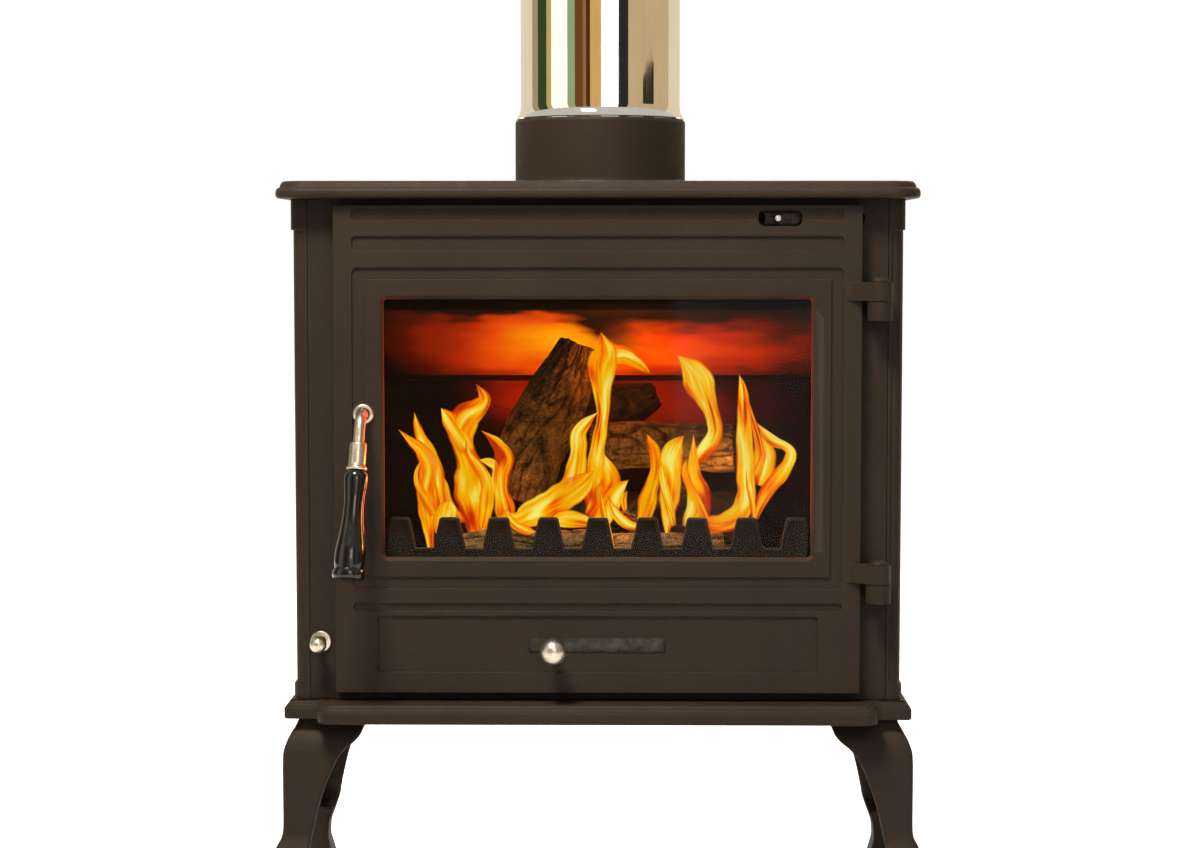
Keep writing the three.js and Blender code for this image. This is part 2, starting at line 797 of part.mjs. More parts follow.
function baffleUnderside(y) {
  return baffleLow.z + (baffleLow.y - y) * Math.tan(baffleSlope);
}

// A side liner: its top follows the baffle that rests on it.
function sideLinerShape() {
  const shape = new THREE.Shape();
  shape.moveTo(sideLinerFront, fireFloor);
  shape.lineTo(sideLinerBack, fireFloor);
  shape.lineTo(sideLinerBack, baffleUnderside(sideLinerBack) - GAP);
  shape.lineTo(baffleHigh.y - 2, baffleUnderside(baffleHigh.y - 2) - GAP);
  shape.lineTo(sideLinerFront, baffleUnderside(baffleHigh.y - 2) - GAP);
  return shape;
}

const linerOut = innerSide - FLOAT;
const linerSide = linerOut - LINER;
const betweenRods = TIE_ROD_X - BOLT_RADIUS - 2 * FLOAT;
add("left_liner", sideways(sideLinerShape(), -linerOut, -linerSide), linerIron);
add("right_liner", sideways(sideLinerShape(), linerSide, linerOut), linerIron);

add(
  "back_liner",
  block(-betweenRods, betweenRods, backLinerFront, backLinerBack, fireFloor, backLinerTop),
  linerIron,
);

// The baffle's middle reaches back over the back liner; its two edges rest on the side liners.
function baffleGeometry() {
  const dy = BAFFLE_THICKNESS * Math.sin(baffleSlope);
  const dz = BAFFLE_THICKNESS * Math.cos(baffleSlope);
  const slab = new THREE.Shape();
  slab.moveTo(baffleLow.y, baffleLow.z);
  slab.lineTo(baffleLow.y + dy, baffleLow.z + dz);
  slab.lineTo(baffleHigh.y + dy, baffleHigh.z + dz);
  slab.lineTo(baffleHigh.y, baffleHigh.z);
  const lip = new THREE.Shape();
  lip.moveTo(baffleLow.y - 8, baffleLow.z + 5);
  lip.lineTo(baffleLow.y, baffleLow.z);
  lip.lineTo(backLinerBack + 2, baffleLow.z);
  lip.lineTo(backLinerBack + 2, baffleLow.z + dz);
  lip.lineTo(baffleLow.y - 8, baffleLow.z + dz);
  const wings = common(
    sideways(slab, -linerOut, linerOut),
    block(-linerOut, linerOut, 0, sideLinerBack, fireFloor, plateBottom),
  );
  const middle = sideways(slab, -betweenRods, betweenRods);
  return join(wings, middle, sideways(lip, -betweenRods, betweenRods));
}
add("baffle_plate", baffleGeometry(), hotIron);

// ---------------------------------------------------------------- log guard

const guardFront = GUARD_SETBACK;
const guardSide = ((GUARD_TEETH - 1) * GUARD_PITCH) / 2 + 10.5;
const GUARD_THICKNESS = 6;

function guardGeometry() {
  const half = ((GUARD_TEETH - 1) * GUARD_PITCH) / 2;
  const wide = 14.4; // half a tooth's foot
  const narrow = 9; // half a tooth's tip
  const end = guardSide;
  const top = fireFloor + GUARD_BAR;
  const tip = top + GUARD_TOOTH;
  const shape = new THREE.Shape();
  shape.moveTo(-end, grateTop - GUARD_GROOVE + GAP);
  shape.lineTo(end, grateTop - GUARD_GROOVE + GAP);
  for (let i = GUARD_TEETH - 1; i >= 0; i--) {
    const x = i * GUARD_PITCH - half;
    const right = i === GUARD_TEETH - 1 ? end : x + wide;
    const left = i === 0 ? -end : x - wide;
    shape.lineTo(right, i === GUARD_TEETH - 1 ? tip - 8 : top);
    shape.lineTo(Math.min(x + narrow, end - 2), tip - 1.5);
    shape.lineTo(Math.min(x + narrow, end - 2) - 2, tip);
    shape.lineTo(Math.max(x - narrow, 2 - end) + 2, tip);
    shape.lineTo(Math.max(x - narrow, 2 - end), tip - 1.5);
    shape.lineTo(left, i === 0 ? tip - 8 : top);
  }
  return upright(shape, guardFront, guardFront + GUARD_THICKNESS);
}
add("log_guard", guardGeometry(), castIron);

// ---------------------------------------------------------------- grate, riddle and ash pan

const grateSide = innerSide - FLOAT;
const grateFront = CAST + 2;
const grateBack = innerBack - FLOAT;
const grateBottom = grateTop - GRATE_THICKNESS;
const riddleSide = 104;
const riddleFront = guardFront + 66;
const riddleBack = backLinerFront - 14;
const LIP = 7;

// A row of straight slots that run front to back.
function slots(x0, x1, y0, y1, count, width, z0, z1) {
  const pitch = (x1 - x0) / count;
  return Array.from({ length: count }, (_, i) => {
    const x = x0 + (i + 0.5) * pitch;
    return block(x - width / 2, x + width / 2, y0, y1, z0, z1);
  });
}

function grateFrameGeometry() {
  const sheet = block(-grateSide, grateSide, grateFront, grateBack, grateBottom, grateTop);
  const well = block(
    -riddleSide - 1,
    riddleSide + 1,
    riddleFront - RIDDLE_TRAVEL - 1,
    riddleBack + 1,
    grateBottom + 3,
    grateTop + 1,
  );
  const drop = block(
    LIP - riddleSide,
    riddleSide - LIP,
    riddleFront - RIDDLE_TRAVEL + LIP,
    riddleBack - LIP,
    grateBottom - 1,
    grateBottom + 4,
  );
  const spare = (grateSide - riddleSide) / 2 + riddleSide;
  const flanks = [-1, 1].flatMap((way) => {
    const x = way * spare;
    return slots(x - 34, x + 34, 70, backLinerFront - 40, 3, 9, grateBottom - 1, grateTop + 1);
  });
  const groove = block(
    -guardSide - 1,
    guardSide + 1,
    guardFront - GAP,
    guardFront + GUARD_THICKNESS + GAP,
    grateTop - GUARD_GROOVE,
    grateTop + 1,
  );
  const notches = tieRodSpots.map(({ x, y }) => {
    return block(x - 9, x + 9, y - 14, y + 10, grateBottom - 1, grateTop + 1);
  });
  return cut(sheet, well, drop, groove, ...flanks, ...notches);
}
add("grate_frame", grateFrameGeometry(), hotIron);

const riddle = new THREE.Group();
stove.add(riddle);

const RIDDLE_ARM_Y = 150;
const riddlePeg = -riddleSide + 24;

function riddleGrateGeometry() {
  const bottom = grateBottom + 3 + GAP;
  const sheet = block(-riddleSide, riddleSide, riddleFront, riddleBack, bottom, grateTop);
  const bars = slots(
    -riddleSide + 10,
    riddleSide - 10,
    riddleFront + 14,
    riddleBack - 14,
    8,
    11,
    bottom - 1,
    grateTop + 1,
  );
  const pegHole = block(
    riddlePeg - 7,
    riddlePeg + 7,
    RIDDLE_ARM_Y - 7,
    RIDDLE_ARM_Y + 7,
    bottom - 1,
    grateTop - 2,
  );
  const pegBoss = block(
    riddlePeg - 13,
    riddlePeg + 13,
    RIDDLE_ARM_Y - 13,
    RIDDLE_ARM_Y + 13,
    bottom,
    grateTop,
  );
  return cut(join(cut(sheet, ...bars), pegBoss), pegHole);
}
add("riddle_grate", riddleGrateGeometry(), hotIron, riddle);

const riddleKnobY = -21;
const RIDDLE_KNOB = 7.4;

function riddleRodGeometry() {
  const rod = bar(
    RIDDLE_ROD,
    [riddleX, riddleKnobY + 3, riddleZ],
    [riddleX, RIDDLE_ARM_Y + 8, riddleZ],
    16,
  );
  const armTop = grateBottom - 3;
  const riser = block(
    riddleX - 4,
    riddleX + 4,
    RIDDLE_ARM_Y - 5,
    RIDDLE_ARM_Y + 5,
    riddleZ - 4,
    armTop,
  );
  const arm = block(
    riddleX - 4,
    riddlePeg + 5,
    RIDDLE_ARM_Y - 5,
    RIDDLE_ARM_Y + 5,
    armTop - 6,
    armTop,
  );
  const peg = block(
    riddlePeg - 5,
    riddlePeg + 5,
    RIDDLE_ARM_Y - 5,
    RIDDLE_ARM_Y + 5,
    armTop - 1,
    grateTop - 4,
  );
  return join(rod, riser, arm, peg);
}
const riddleKnob = new THREE.SphereGeometry(RIDDLE_KNOB, 14, 8).translate(
  riddleX,
  riddleKnobY,
  riddleZ,
);
const riddleRod = riddleRodGeometry();
const knobSocket = bar(
  RIDDLE_ROD + GAP,
  [riddleX, riddleKnobY + 3 - GAP, riddleZ],
  [riddleX, riddleKnobY + 20, riddleZ],
  16,
);
add("riddle_rod", riddleRod, plainSteel, riddle);
add("riddle_knob", cut(riddleKnob, knobSocket), satinSteel, riddle);

const bush = add(
  "riddle_bush",
  turned(
    [
      [RIDDLE_ROD + 0.6, 0],
      [9.2, 0],
      [9.6, 0.8],
      [9, 2.2],
      [RIDDLE_ROD + 0.6, 3],
      [RIDDLE_ROD + 0.6, 0],
    ],
    16,
  ),
  satinSteel,
);
bush.rotation.x = Math.PI / 2;
bush.position.set(riddleX, -GAP, riddleZ);

function ashPanGeometry() {
  const side = 152;
  const front = CAST + 14;
  const back = innerBack - 18;
  const floor = panFloor;
  const top = floor + PAN_HEIGHT;
  const outer = block(-side, side, front, back, floor, top);
  const inner = block(
    PAN_WALL - side,
    side - PAN_WALL,
    front + PAN_WALL,
    back - PAN_WALL,
    floor + PAN_WALL,
    top + 1,
  );
  const grip = new THREE.Shape();
  grip.moveTo(front + 1, top - 10);
  grip.lineTo(front - 11, top - 12);
  grip.lineTo(front - 11, top - 22);
  grip.lineTo(front - 9, top - 22);
  grip.lineTo(front - 9, top - 14);
  grip.lineTo(front + 1, top - 12);
  const tab = sideways(grip, -45, 45);
  return join(cut(outer, inner), tab);
}
add("ash_pan", ashPanGeometry(), plainSteel);

// ---------------------------------------------------------------- upper air slider

const upperSlider = new THREE.Group();
stove.add(upperSlider);
const pinRest = PIN_SLOT_X - 2.3;

function upperSliderGeometry() {
  const strip = block(pinRest - 40, pinRest + 40, CAST + GAP, CAST + 3, sliderBottom, sliderTop);
  const window = plate(pinRest - 32, pinRest - 10, pinSlotZ - 5, pinSlotZ + 5, 0, CAST + 5, 3);
  return cut(strip, window);
}
add("upper_air_slider", upperSliderGeometry(), plainSteel, upperSlider);
const pinBack = CAST;
add(
  "upper_air_pin",
  join(
    bar(PIN_RADIUS, [pinRest, doorFace - 1, pinSlotZ], [pinRest, pinBack, pinSlotZ], 16),
    bar(PIN_RADIUS - 1, [pinRest, doorFace - 2.6, pinSlotZ], [pinRest, doorFace, pinSlotZ], 16),
  ),
  satinSteel,
  upperSlider,
);

// ---------------------------------------------------------------- door casting

const door = new THREE.Group();
stove.add(door);

const ropeSide = doorSide - ROPE_INSET;
const ropeBottom = doorBottom + ROPE_INSET;
const ropeTop = openingTop + 9;
const ropeCentre = -(ROPE_RADIUS + GAP);
const grooveFloor = ropeCentre - ROPE_RADIUS - ROPE_CUT;
const glassSide = windowSide + GLASS_LAP;
const glassBottom = windowBottom - GLASS_LAP;
const glassTop = windowTop + GLASS_LAP;
const lipBack = doorFace + 5;
const gasketFront = lipBack + GAP;
const glassFront = gasketFront + GASKET_THICKNESS + GAP;
const glassBack = glassFront + GLASS_THICKNESS;

// The half of a hinge that belongs to the door: an arm that sweeps forward to a knuckle.
function doorArm(joint) {
  const low = joint + GAP;
  const high = low + KNUCKLE_HEIGHT;
  const root = windowSide + channelOut + 2.5;
  const shape = new THREE.Shape();
  shape.moveTo(root, grooveFloor - 1.5);
  shape.lineTo(root, doorFace);
  shape.lineTo(root + 5, doorFace - 1.5);
  shape.lineTo(hingeX - 6.5, hingeY - KNUCKLE_RADIUS + 2.1);
  shape.lineTo(hingeX, hingeY);
  shape.lineTo(hingeX - 3, hingeY + KNUCKLE_RADIUS - 0.4);
  shape.lineTo(doorSide, grooveFloor - 1.5);
  const knuckle = bar(KNUCKLE_RADIUS, [hingeX, hingeY, low], [hingeX, hingeY, high], 24);
  return join(flat(new THREE.Shape(shape.getPoints().reverse()), low, high), knuckle);
}

// The window's opening, with its front edge bevelled outwards.
function windowCut() {
  const front = doorFace - 1;
  const hole = plate(
    -windowSide,
    windowSide,
    windowBottom,
    windowTop,
    front,
    doorBack + 1,
    3,
  );
  const reach = WINDOW_CHAMFER + 1;
  const rim = roundedRect(
    -windowSide - reach,
    windowSide + reach,
    windowBottom - reach,
    windowTop + reach,
    3 + reach,
  );
  const bevel = profiledSlab(outlineOf(rim, 3), -front - reach - 0.5, [
    [reach + 0.5, 0],
    [0, reach + 0.5],
  ]);
  return join(hole, bevel.rotateX(Math.PI / 2));
}

function doorGeometry() {
  const face = doorFace - 1;
  const floor = doorFace + RELIEF;
  const sheet = plate(-doorSide, doorSide, doorBottom, doorTop, doorFace, doorBack, 2.5);
  const bandSide = windowSide + channelOut;
  const bands = [
    [doorTop - 12.6, doorTop - 3],
    [doorTop - 39.4, doorTop - 26.8],
    [windowBottom - channelOut - 20, windowBottom - channelOut - 12.8],
  ].map(([low, high]) => plate(-bandSide, bandSide, low, high, face, floor, 3));
  const channel = uprightRing(
    bandSide,
    windowBottom - channelOut,
    windowTop + channelOut,
    CHANNEL_WIDTH,
    CHANNEL_CORNER,
    face,
    floor,
  );
  const panel = plate(
    -PANEL_WIDTH / 2,
    PANEL_WIDTH / 2,
    panelBottom,
    panelBottom + PANEL_HEIGHT,
    face,
    floor,
    1.5,
  );
  const airSlot = plate(
    -AIR_SLOT_WIDTH / 2,
    AIR_SLOT_WIDTH / 2,
    airSlotZ - AIR_SLOT_HEIGHT / 2,
    airSlotZ + AIR_SLOT_HEIGHT / 2,
    face,
    doorBack + 1,
    3,
  );
  const pinSlot = plate(
    PIN_SLOT_X - PIN_SLOT_WIDTH / 2,
    PIN_SLOT_X + PIN_SLOT_WIDTH / 2,
    pinSlotZ - PIN_SLOT_HEIGHT / 2,
    pinSlotZ + PIN_SLOT_HEIGHT / 2,
    face,
    doorBack + 1,
    5,
  );
  const rebate = plate(
    -glassSide - GLASS_FIT,
    glassSide + GLASS_FIT,
    glassBottom - GLASS_FIT,
    glassTop + GLASS_FIT,
    lipBack,
    doorBack + 1,
    2,
  );
  const grooveWidth = 2 * (ROPE_RADIUS + ROPE_CUT);
  const groove = uprightRing(
    ropeSide + grooveWidth / 2,
    ropeBottom - grooveWidth / 2,
    ropeTop + grooveWidth / 2,
    grooveWidth,
    ROPE_BEND + grooveWidth / 2,
    grooveFloor,
    doorBack + 1,
  );
  const spindleHole = bar(
    SPINDLE_RADIUS + SPINDLE_FIT,
    [handleX, face, handleZ],
    [handleX, doorBack + 1, handleZ],
  );
  const boss = bar(11, [handleX, doorFace + RELIEF + 1, handleZ], [handleX, doorFace, handleZ]);
  const clipHoles = clipSpots.map(({ x, z }) =>
    bar(2.6, [x, doorBack - 5, z], [x, doorBack + 1, z], 12),
  );
  const plain = cut(sheet, ...bands, channel, panel, airSlot, pinSlot, windowCut(), rebate, groove);
  const bored = cut(join(plain, boss), spindleHole, ...clipHoles);
  const bores = hingeJoints.map((joint) =>
    bar(
      HINGE_PIN_RADIUS + HINGE_PIN_FIT,
      [hingeX, hingeY, joint - 1],
      [hingeX, hingeY, joint + KNUCKLE_HEIGHT + 2],
    ),
  );
  return cut(join(bored, ...hingeJoints.map(doorArm)), ...bores);
}

// ---------------------------------------------------------------- glass, clips and seals

const CLIP_OUT = 7; // screw's centre from the glass's edge
const clipSpots = [-1, 1].flatMap((way) =>
  [-1, 1].map((side) => ({
    x: side * 118,
    z: way < 0 ? glassBottom - CLIP_OUT : glassTop + CLIP_OUT,
    way,
    side,
  })),
);

add("door_casting", doorGeometry(), castIron, door);

add(
  "door_glass",
  plate(-glassSide, glassSide, glassBottom, glassTop, glassFront, glassBack, 2),
  heatGlass,
  door,
);
add(
  "glass_gasket",
  uprightRing(
    glassSide,
    glassBottom,
    glassTop,
    GLASS_LAP - 1,
    GLASS_LAP + 1,
    gasketFront,
    gasketFront + GASKET_THICKNESS,
  ),
  ropeFibre,
  door,
);

// A clip for the glass, with its screw at x = 0, z = 0 and its lip reaching to +z over the glass.
function clipGeometry() {
  const lipY = glassBack + GAP;
  const lip = block(-9, 9, lipY, lipY + 2, -8, CLIP_OUT + 6);
  const foot = block(-9, 9, doorBack + GAP, lipY + 1, -8, CLIP_OUT - GLASS_FIT - 1);
  const hole = bar(2.6, [0, doorBack - 1, 0], [0, lipY + 4, 0], 12);
  return cut(join(lip, foot), hole);
}

function screwGeometry() {
  const seat = glassBack + GAP + 2 + GAP;
  const head = bar(4.6, [0, seat, 0], [0, seat + 2.6, 0], 16, 3.4);
  return join(head, bar(2.2, [0, doorBack - 4, 0], [0, seat + 0.5, 0], 12));
}

clipSpots.forEach(({ x, z, way, side }) => {
  const place = `${way < 0 ? "lower" : "upper"}_${sides[side]}`;
  const clip = add(`glass_clip_${place}`, clipGeometry(), plainSteel, door);
  clip.position.set(x, 0, z);
  clip.rotation.y = way < 0 ? 0 : Math.PI;
  const screw = add(`clip_screw_${place}`, screwGeometry(), plainSteel, door);
  screw.position.set(x, 0, z);
});

// A closed rope along a rounded rectangle in x and z.
function ropeGeometry() {
  const loop = roundedRect(-ropeSide, ropeSide, ropeBottom, ropeTop, ROPE_BEND);
  return loopTube(
    outlineOf(loop, 4).map((point) => new THREE.Vector3(point.x, ropeCentre, point.y)),
    ROPE_RADIUS,
    8,
  );
}

// A tube round a closed loop of points that lie in one upright plane of constant y.
function loopTube(points, radius, sidesCount) {
  const count = points.length;
  const corners = [];
  const faces = [];
  points.forEach((point, i) => {
    const before = points[(i + count - 1) % count];
    const after = points[(i + 1) % count];
    const along = after.clone().sub(before).normalize();
    const out = new THREE.Vector3(along.z, 0, -along.x);
    for (let k = 0; k < sidesCount; k++) {
      const angle = (2 * Math.PI * k) / sidesCount;
      corners.push(
        point.x + out.x * radius * Math.cos(angle),
        point.y + radius * Math.sin(angle),
        point.z + out.z * radius * Math.cos(angle),
      );
    }
  });
  for (let i = 0; i < count; i++) {
    for (let k = 0; k < sidesCount; k++) {
      const a = i * sidesCount + k;
      const b = i * sidesCount + ((k + 1) % sidesCount);
      const c = ((i + 1) % count) * sidesCount + k;
      const d = ((i + 1) % count) * sidesCount + ((k + 1) % sidesCount);
      faces.push(a, b, d, a, d, c);
    }
  }
  const geometry = new THREE.BufferGeometry();
  geometry.setAttribute("position", new THREE.Float32BufferAttribute(corners, 3));
  geometry.setIndex(faces);
  return geometry;
}
add("door_rope_seal", ropeGeometry(), ropeFibre, door);

// ---------------------------------------------------------------- primary air slider on the door

const primary = new THREE.Group();
door.add(primary);
const primaryKnobX = -AIR_SLOT_WIDTH / 2 + 22;
const PRIMARY_KNOB = 11.7;
const PRIMARY_STEM = 4;
const primaryKnobY = doorFace - 27;
const stripHalf = AIR_SLOT_HEIGHT / 2 + 5;
const stripFront = doorBack + GAP;
const stripBack = stripFront + 2.5;
add(
  "primary_air_slider",
  plate(
    -AIR_SLOT_WIDTH / 2 - 6,
    AIR_SLOT_WIDTH / 2 + 14,
    airSlotZ - stripHalf,
    airSlotZ + stripHalf,
    stripFront,
    stripBack,
    1,
  ),
  plainSteel,
  primary,
);

function primaryKnobGeometry() {
  const ball = new THREE.SphereGeometry(PRIMARY_KNOB, 20, 12);
  const neck = bar(
    PRIMARY_STEM,
    [0, 0, 0],
    [0, stripFront - GAP - primaryKnobY, 0],
    20,
  );
  const collarRing = bar(
    PRIMARY_STEM + 2,
    [0, PRIMARY_KNOB - 1.5, 0],
    [0, PRIMARY_KNOB + 2, 0],
    20,
  );
  return join(ball, neck, collarRing);
}
const primaryKnob = add("primary_air_knob", primaryKnobGeometry(), satinSteel, primary);
primaryKnob.position.set(primaryKnobX, primaryKnobY, airSlotZ);

// Two rails on the door's back that hold the primary air slider.
for (const way of [-1, 1]) {
  const edge = airSlotZ + way * (stripHalf + 0.5);
  const shape = new THREE.Shape();
  shape.moveTo(stripFront, edge);
  shape.lineTo(stripFront, edge + way * 6);
  shape.lineTo(stripBack + 2.6, edge + way * 6);
  shape.lineTo(stripBack + 2.6, edge - way * 4);
  shape.lineTo(stripBack + 0.5, edge - way * 4);
  shape.lineTo(stripBack + 0.5, edge);
  add(
    way < 0 ? "primary_rail_lower" : "primary_rail_upper",
    sideways(shape, -AIR_SLOT_WIDTH / 2 - 10, 172),
    plainSteel,
    door,
  );
}

// ---------------------------------------------------------------- hinge pins

hingeJoints.forEach((joint, i) => {
  const length = 2 * KNUCKLE_HEIGHT + 2 * GAP;
  const pin = turned(
    [
      [0, -KNUCKLE_HEIGHT],
      [HINGE_PIN_RADIUS, -KNUCKLE_HEIGHT],
      [HINGE_PIN_RADIUS, length - KNUCKLE_HEIGHT + GAP],
      [HINGE_PIN_RADIUS + 2.4, length - KNUCKLE_HEIGHT + GAP],
      [HINGE_PIN_RADIUS + 2, length - KNUCKLE_HEIGHT + 2.4],
      [HINGE_PIN_RADIUS - 1, length - KNUCKLE_HEIGHT + 4],
      [0, length - KNUCKLE_HEIGHT + 4.6],
    ],
    16,
  );
  const mesh = add(i ? "upper_hinge_pin" : "lower_hinge_pin", pin, castIron);
  mesh.position.set(hingeX, hingeY, joint);
});

// ---------------------------------------------------------------- handle and latch

const handle = new THREE.Group();
handle.position.set(handleX, 0, handleZ);
door.add(handle);

const flangeFace = doorFace - GAP;
const flange = add(
  "handle_flange",
  turned(
    [
      [SPINDLE_RADIUS + SPINDLE_FIT, 0],
      [9.2, 0],
      [9.4, 1.6],
      [8.4, 3.6],
      [6.6, 4.2],
      [SPINDLE_RADIUS + SPINDLE_FIT, 3.2],
      [SPINDLE_RADIUS + SPINDLE_FIT, 0],
    ],
    20,
  ),
  satinSteel,
  door,
);
flange.rotation.x = Math.PI / 2;
flange.position.set(handleX, flangeFace, handleZ);

// The grip's own axis starts at the corner of the bend and runs down, leaning forward and a
// little to the left.
const handleKnee = new THREE.Vector3(0, -38, 0);
const gripEnd = new THREE.Vector3(-7.4, -75, -138);
const BEND_DROP = 24; // from the corner of the bend down to the ferrule
const gripAxis = gripEnd.clone().sub(handleKnee).normalize();
const gripStart = handleKnee.clone().addScaledVector(gripAxis, BEND_DROP);
const FERRULE_LENGTH = 24;
const GRIP_LENGTH = gripEnd.distanceTo(gripStart) - FERRULE_LENGTH - GAP;
const LATCH_THICKNESS = 6;
const NUT_THICKNESS = 5;
const SOCKET_DEPTH = 8; // how deep the rod enters the ferrule
const latchFront = doorBack + 4.6;

// The spindle comes forward out of the door, bends down and enters the ferrule.
function handleRodGeometry() {
  const inner = new THREE.Vector3(0, latchFront + LATCH_THICKNESS + NUT_THICKNESS + 1, 0);
  const bendStart = new THREE.Vector3(0, handleKnee.y + 14, 0);
  const bendEnd = handleKnee.clone().addScaledVector(gripAxis, 14);
  const socket = gripStart.clone().addScaledVector(gripAxis, SOCKET_DEPTH);
  const path = new THREE.CurvePath();
  path.add(new THREE.LineCurve3(inner, bendStart));
  path.add(new THREE.QuadraticBezierCurve3(bendStart, handleKnee, bendEnd));
  path.add(new THREE.LineCurve3(bendEnd, socket));
  const circle = new THREE.Shape().absarc(0, 0, SPINDLE_RADIUS, 0, 2 * Math.PI);
  return new THREE.ExtrudeGeometry(circle, {
    extrudePath: path,
    steps: 16,
    curveSegments: 6,
    bevelEnabled: false,
  });
}
add("handle_rod", handleRodGeometry(), satinSteel, handle);

const lean = new THREE.Group();
lean.position.copy(gripStart);
lean.quaternion.setFromUnitVectors(new THREE.Vector3(0, 0, -1), gripAxis);
handle.add(lean);

const boreFit = SPINDLE_RADIUS + GAP;
add(
  "handle_ferrule",
  turned(
    [
      [0, -SOCKET_DEPTH - GAP],
      [boreFit, -SOCKET_DEPTH - GAP],
      [boreFit, 0],
      [6.6, 0],
      [7.3, -1.2],
      [7.3, 3 - FERRULE_LENGTH],
      [9, 2.4 - FERRULE_LENGTH],
      [9, 0.4 - FERRULE_LENGTH],
      [8.4, -FERRULE_LENGTH],
      [0, -FERRULE_LENGTH],
    ].reverse(),
    20,
  ),
  satinSteel,
  lean,
);

const gripTop = -FERRULE_LENGTH - GAP;
const gripCurve = new THREE.SplineCurve(
  [
    [7.6, 0],
    [10.2, -5],
    [10.4, -10],
    [8.9, -31],
    [10.6, -52],
    [13.4, -68],
    [13.3, -80],
    [12.4, -85],
  ].map(([radius, along]) => new THREE.Vector2(radius, (along * GRIP_LENGTH) / 94.7)),
);
const gripBottom = -GRIP_LENGTH;
const gripProfile = [
  [0, 0],
  ...gripCurve.getPoints(12).map((point) => [point.x, point.y]),
  [13.6, gripBottom + 8.4],
  [14.2, gripBottom + 6],
  [13.8, gripBottom + 1],
  [12.6, gripBottom],
  [0, gripBottom],
];
add(
  "handle_grip",
  turned(gripProfile.reverse(), 20).translate(0, 0, gripTop),
  glossBlack,
  lean,
);

function latchGeometry() {
  const back = latchFront + LATCH_THICKNESS;
  const boss = bar(7.4, [0, latchFront, 0], [0, back, 0]);
  const tongue = block(-latchReach, 0, latchFront, back, -5, 5);
  const hole = bar(SPINDLE_RADIUS + GAP, [0, latchFront - 1, 0], [0, back + 1, 0]);
  return cut(join(boss, tongue), hole);
}
add("latch_tongue", latchGeometry(), plainSteel, handle);

const nutFront = latchFront + LATCH_THICKNESS + GAP;
add(
  "latch_nut",
  cut(
    bar(8, [0, nutFront, 0], [0, nutFront + NUT_THICKNESS, 0], 6),
    bar(
      SPINDLE_RADIUS + GAP,
      [0, nutFront - 1, 0],
      [0, nutFront + NUT_THICKNESS + 1, 0],
    ),
  ),
  plainSteel,
  handle,
);

// ---------------------------------------------------------------- origin

// The origin is on the floor, under the middle of the whole stove's footprint.
const whole = new THREE.Box3().setFromObject(stove);
const middle = whole.getCenter(new THREE.Vector3());
stove.position.set(-middle.x, -middle.y, -whole.min.z);

export default stove;
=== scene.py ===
"""The looks of a cast-iron wood burning stove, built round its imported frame."""

import json
import math
import random
from contextlib import contextmanager

import bmesh
import bpy
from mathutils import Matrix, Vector, noise


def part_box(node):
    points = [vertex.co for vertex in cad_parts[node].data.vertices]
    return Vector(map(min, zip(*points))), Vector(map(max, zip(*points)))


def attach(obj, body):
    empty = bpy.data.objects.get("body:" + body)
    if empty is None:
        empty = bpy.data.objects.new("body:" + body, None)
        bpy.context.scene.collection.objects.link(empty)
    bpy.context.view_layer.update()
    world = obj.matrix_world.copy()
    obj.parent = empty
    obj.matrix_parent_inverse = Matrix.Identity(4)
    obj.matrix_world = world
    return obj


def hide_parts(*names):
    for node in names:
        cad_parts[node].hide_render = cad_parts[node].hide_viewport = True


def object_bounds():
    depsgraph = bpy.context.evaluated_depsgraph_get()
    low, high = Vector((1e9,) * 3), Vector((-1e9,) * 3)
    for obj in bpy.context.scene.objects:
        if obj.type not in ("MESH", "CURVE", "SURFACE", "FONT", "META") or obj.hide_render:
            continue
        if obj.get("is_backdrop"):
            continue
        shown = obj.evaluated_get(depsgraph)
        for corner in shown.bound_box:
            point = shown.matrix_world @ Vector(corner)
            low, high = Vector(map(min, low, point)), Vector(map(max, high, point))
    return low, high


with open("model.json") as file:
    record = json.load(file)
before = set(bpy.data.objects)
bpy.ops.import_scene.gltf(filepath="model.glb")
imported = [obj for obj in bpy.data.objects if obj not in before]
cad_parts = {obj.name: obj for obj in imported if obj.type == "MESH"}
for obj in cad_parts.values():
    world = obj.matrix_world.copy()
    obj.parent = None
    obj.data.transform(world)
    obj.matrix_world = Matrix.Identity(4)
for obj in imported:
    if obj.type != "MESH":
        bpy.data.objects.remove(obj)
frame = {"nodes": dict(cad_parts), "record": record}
cad_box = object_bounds()

MM = 0.001
WELD = 0.02 * MM  # corners closer than this are one corner
TAU = 2 * math.pi
Y, Z = 1, 2  # axes by number
FORWARD, BACKWARD, UP = (0, -1, 0), (0, 1, 0), (0, 0, 1)
RECORD = frame["record"]
SLOT_OF = {row["node"]: row["material_slot"] for row in RECORD["subparts"]}
BODY_OF = {n: body for body, nodes in RECORD["behaviour"]["bodies"].items() for n in nodes}

# ---------------------------------------------------------------- places read from the frame

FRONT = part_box("left_side_panel")[0].y  # front face of the stove's body
PLATE_LOW, PLATE_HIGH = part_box("top_plate")
BASE_LOW, BASE_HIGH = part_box("base_plate")
LINER_LOW, LINER_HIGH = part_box("back_liner")
BAFFLE_LOW, BAFFLE_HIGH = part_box("baffle_plate")
FIRE_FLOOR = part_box("grate_frame")[1].z


def at(x, back, z):
    """A point from millimetres: x from the middle, back from the body's front, z from the floor."""
    return Vector((x * MM, FRONT + back * MM, z * MM))


def in_fire(x, back, up):
    """A point in the firebox, up being its height above the grate, in millimetres."""
    return Vector((x * MM, FRONT + back * MM, FIRE_FLOOR + up * MM))


# ---------------------------------------------------------------- node helpers


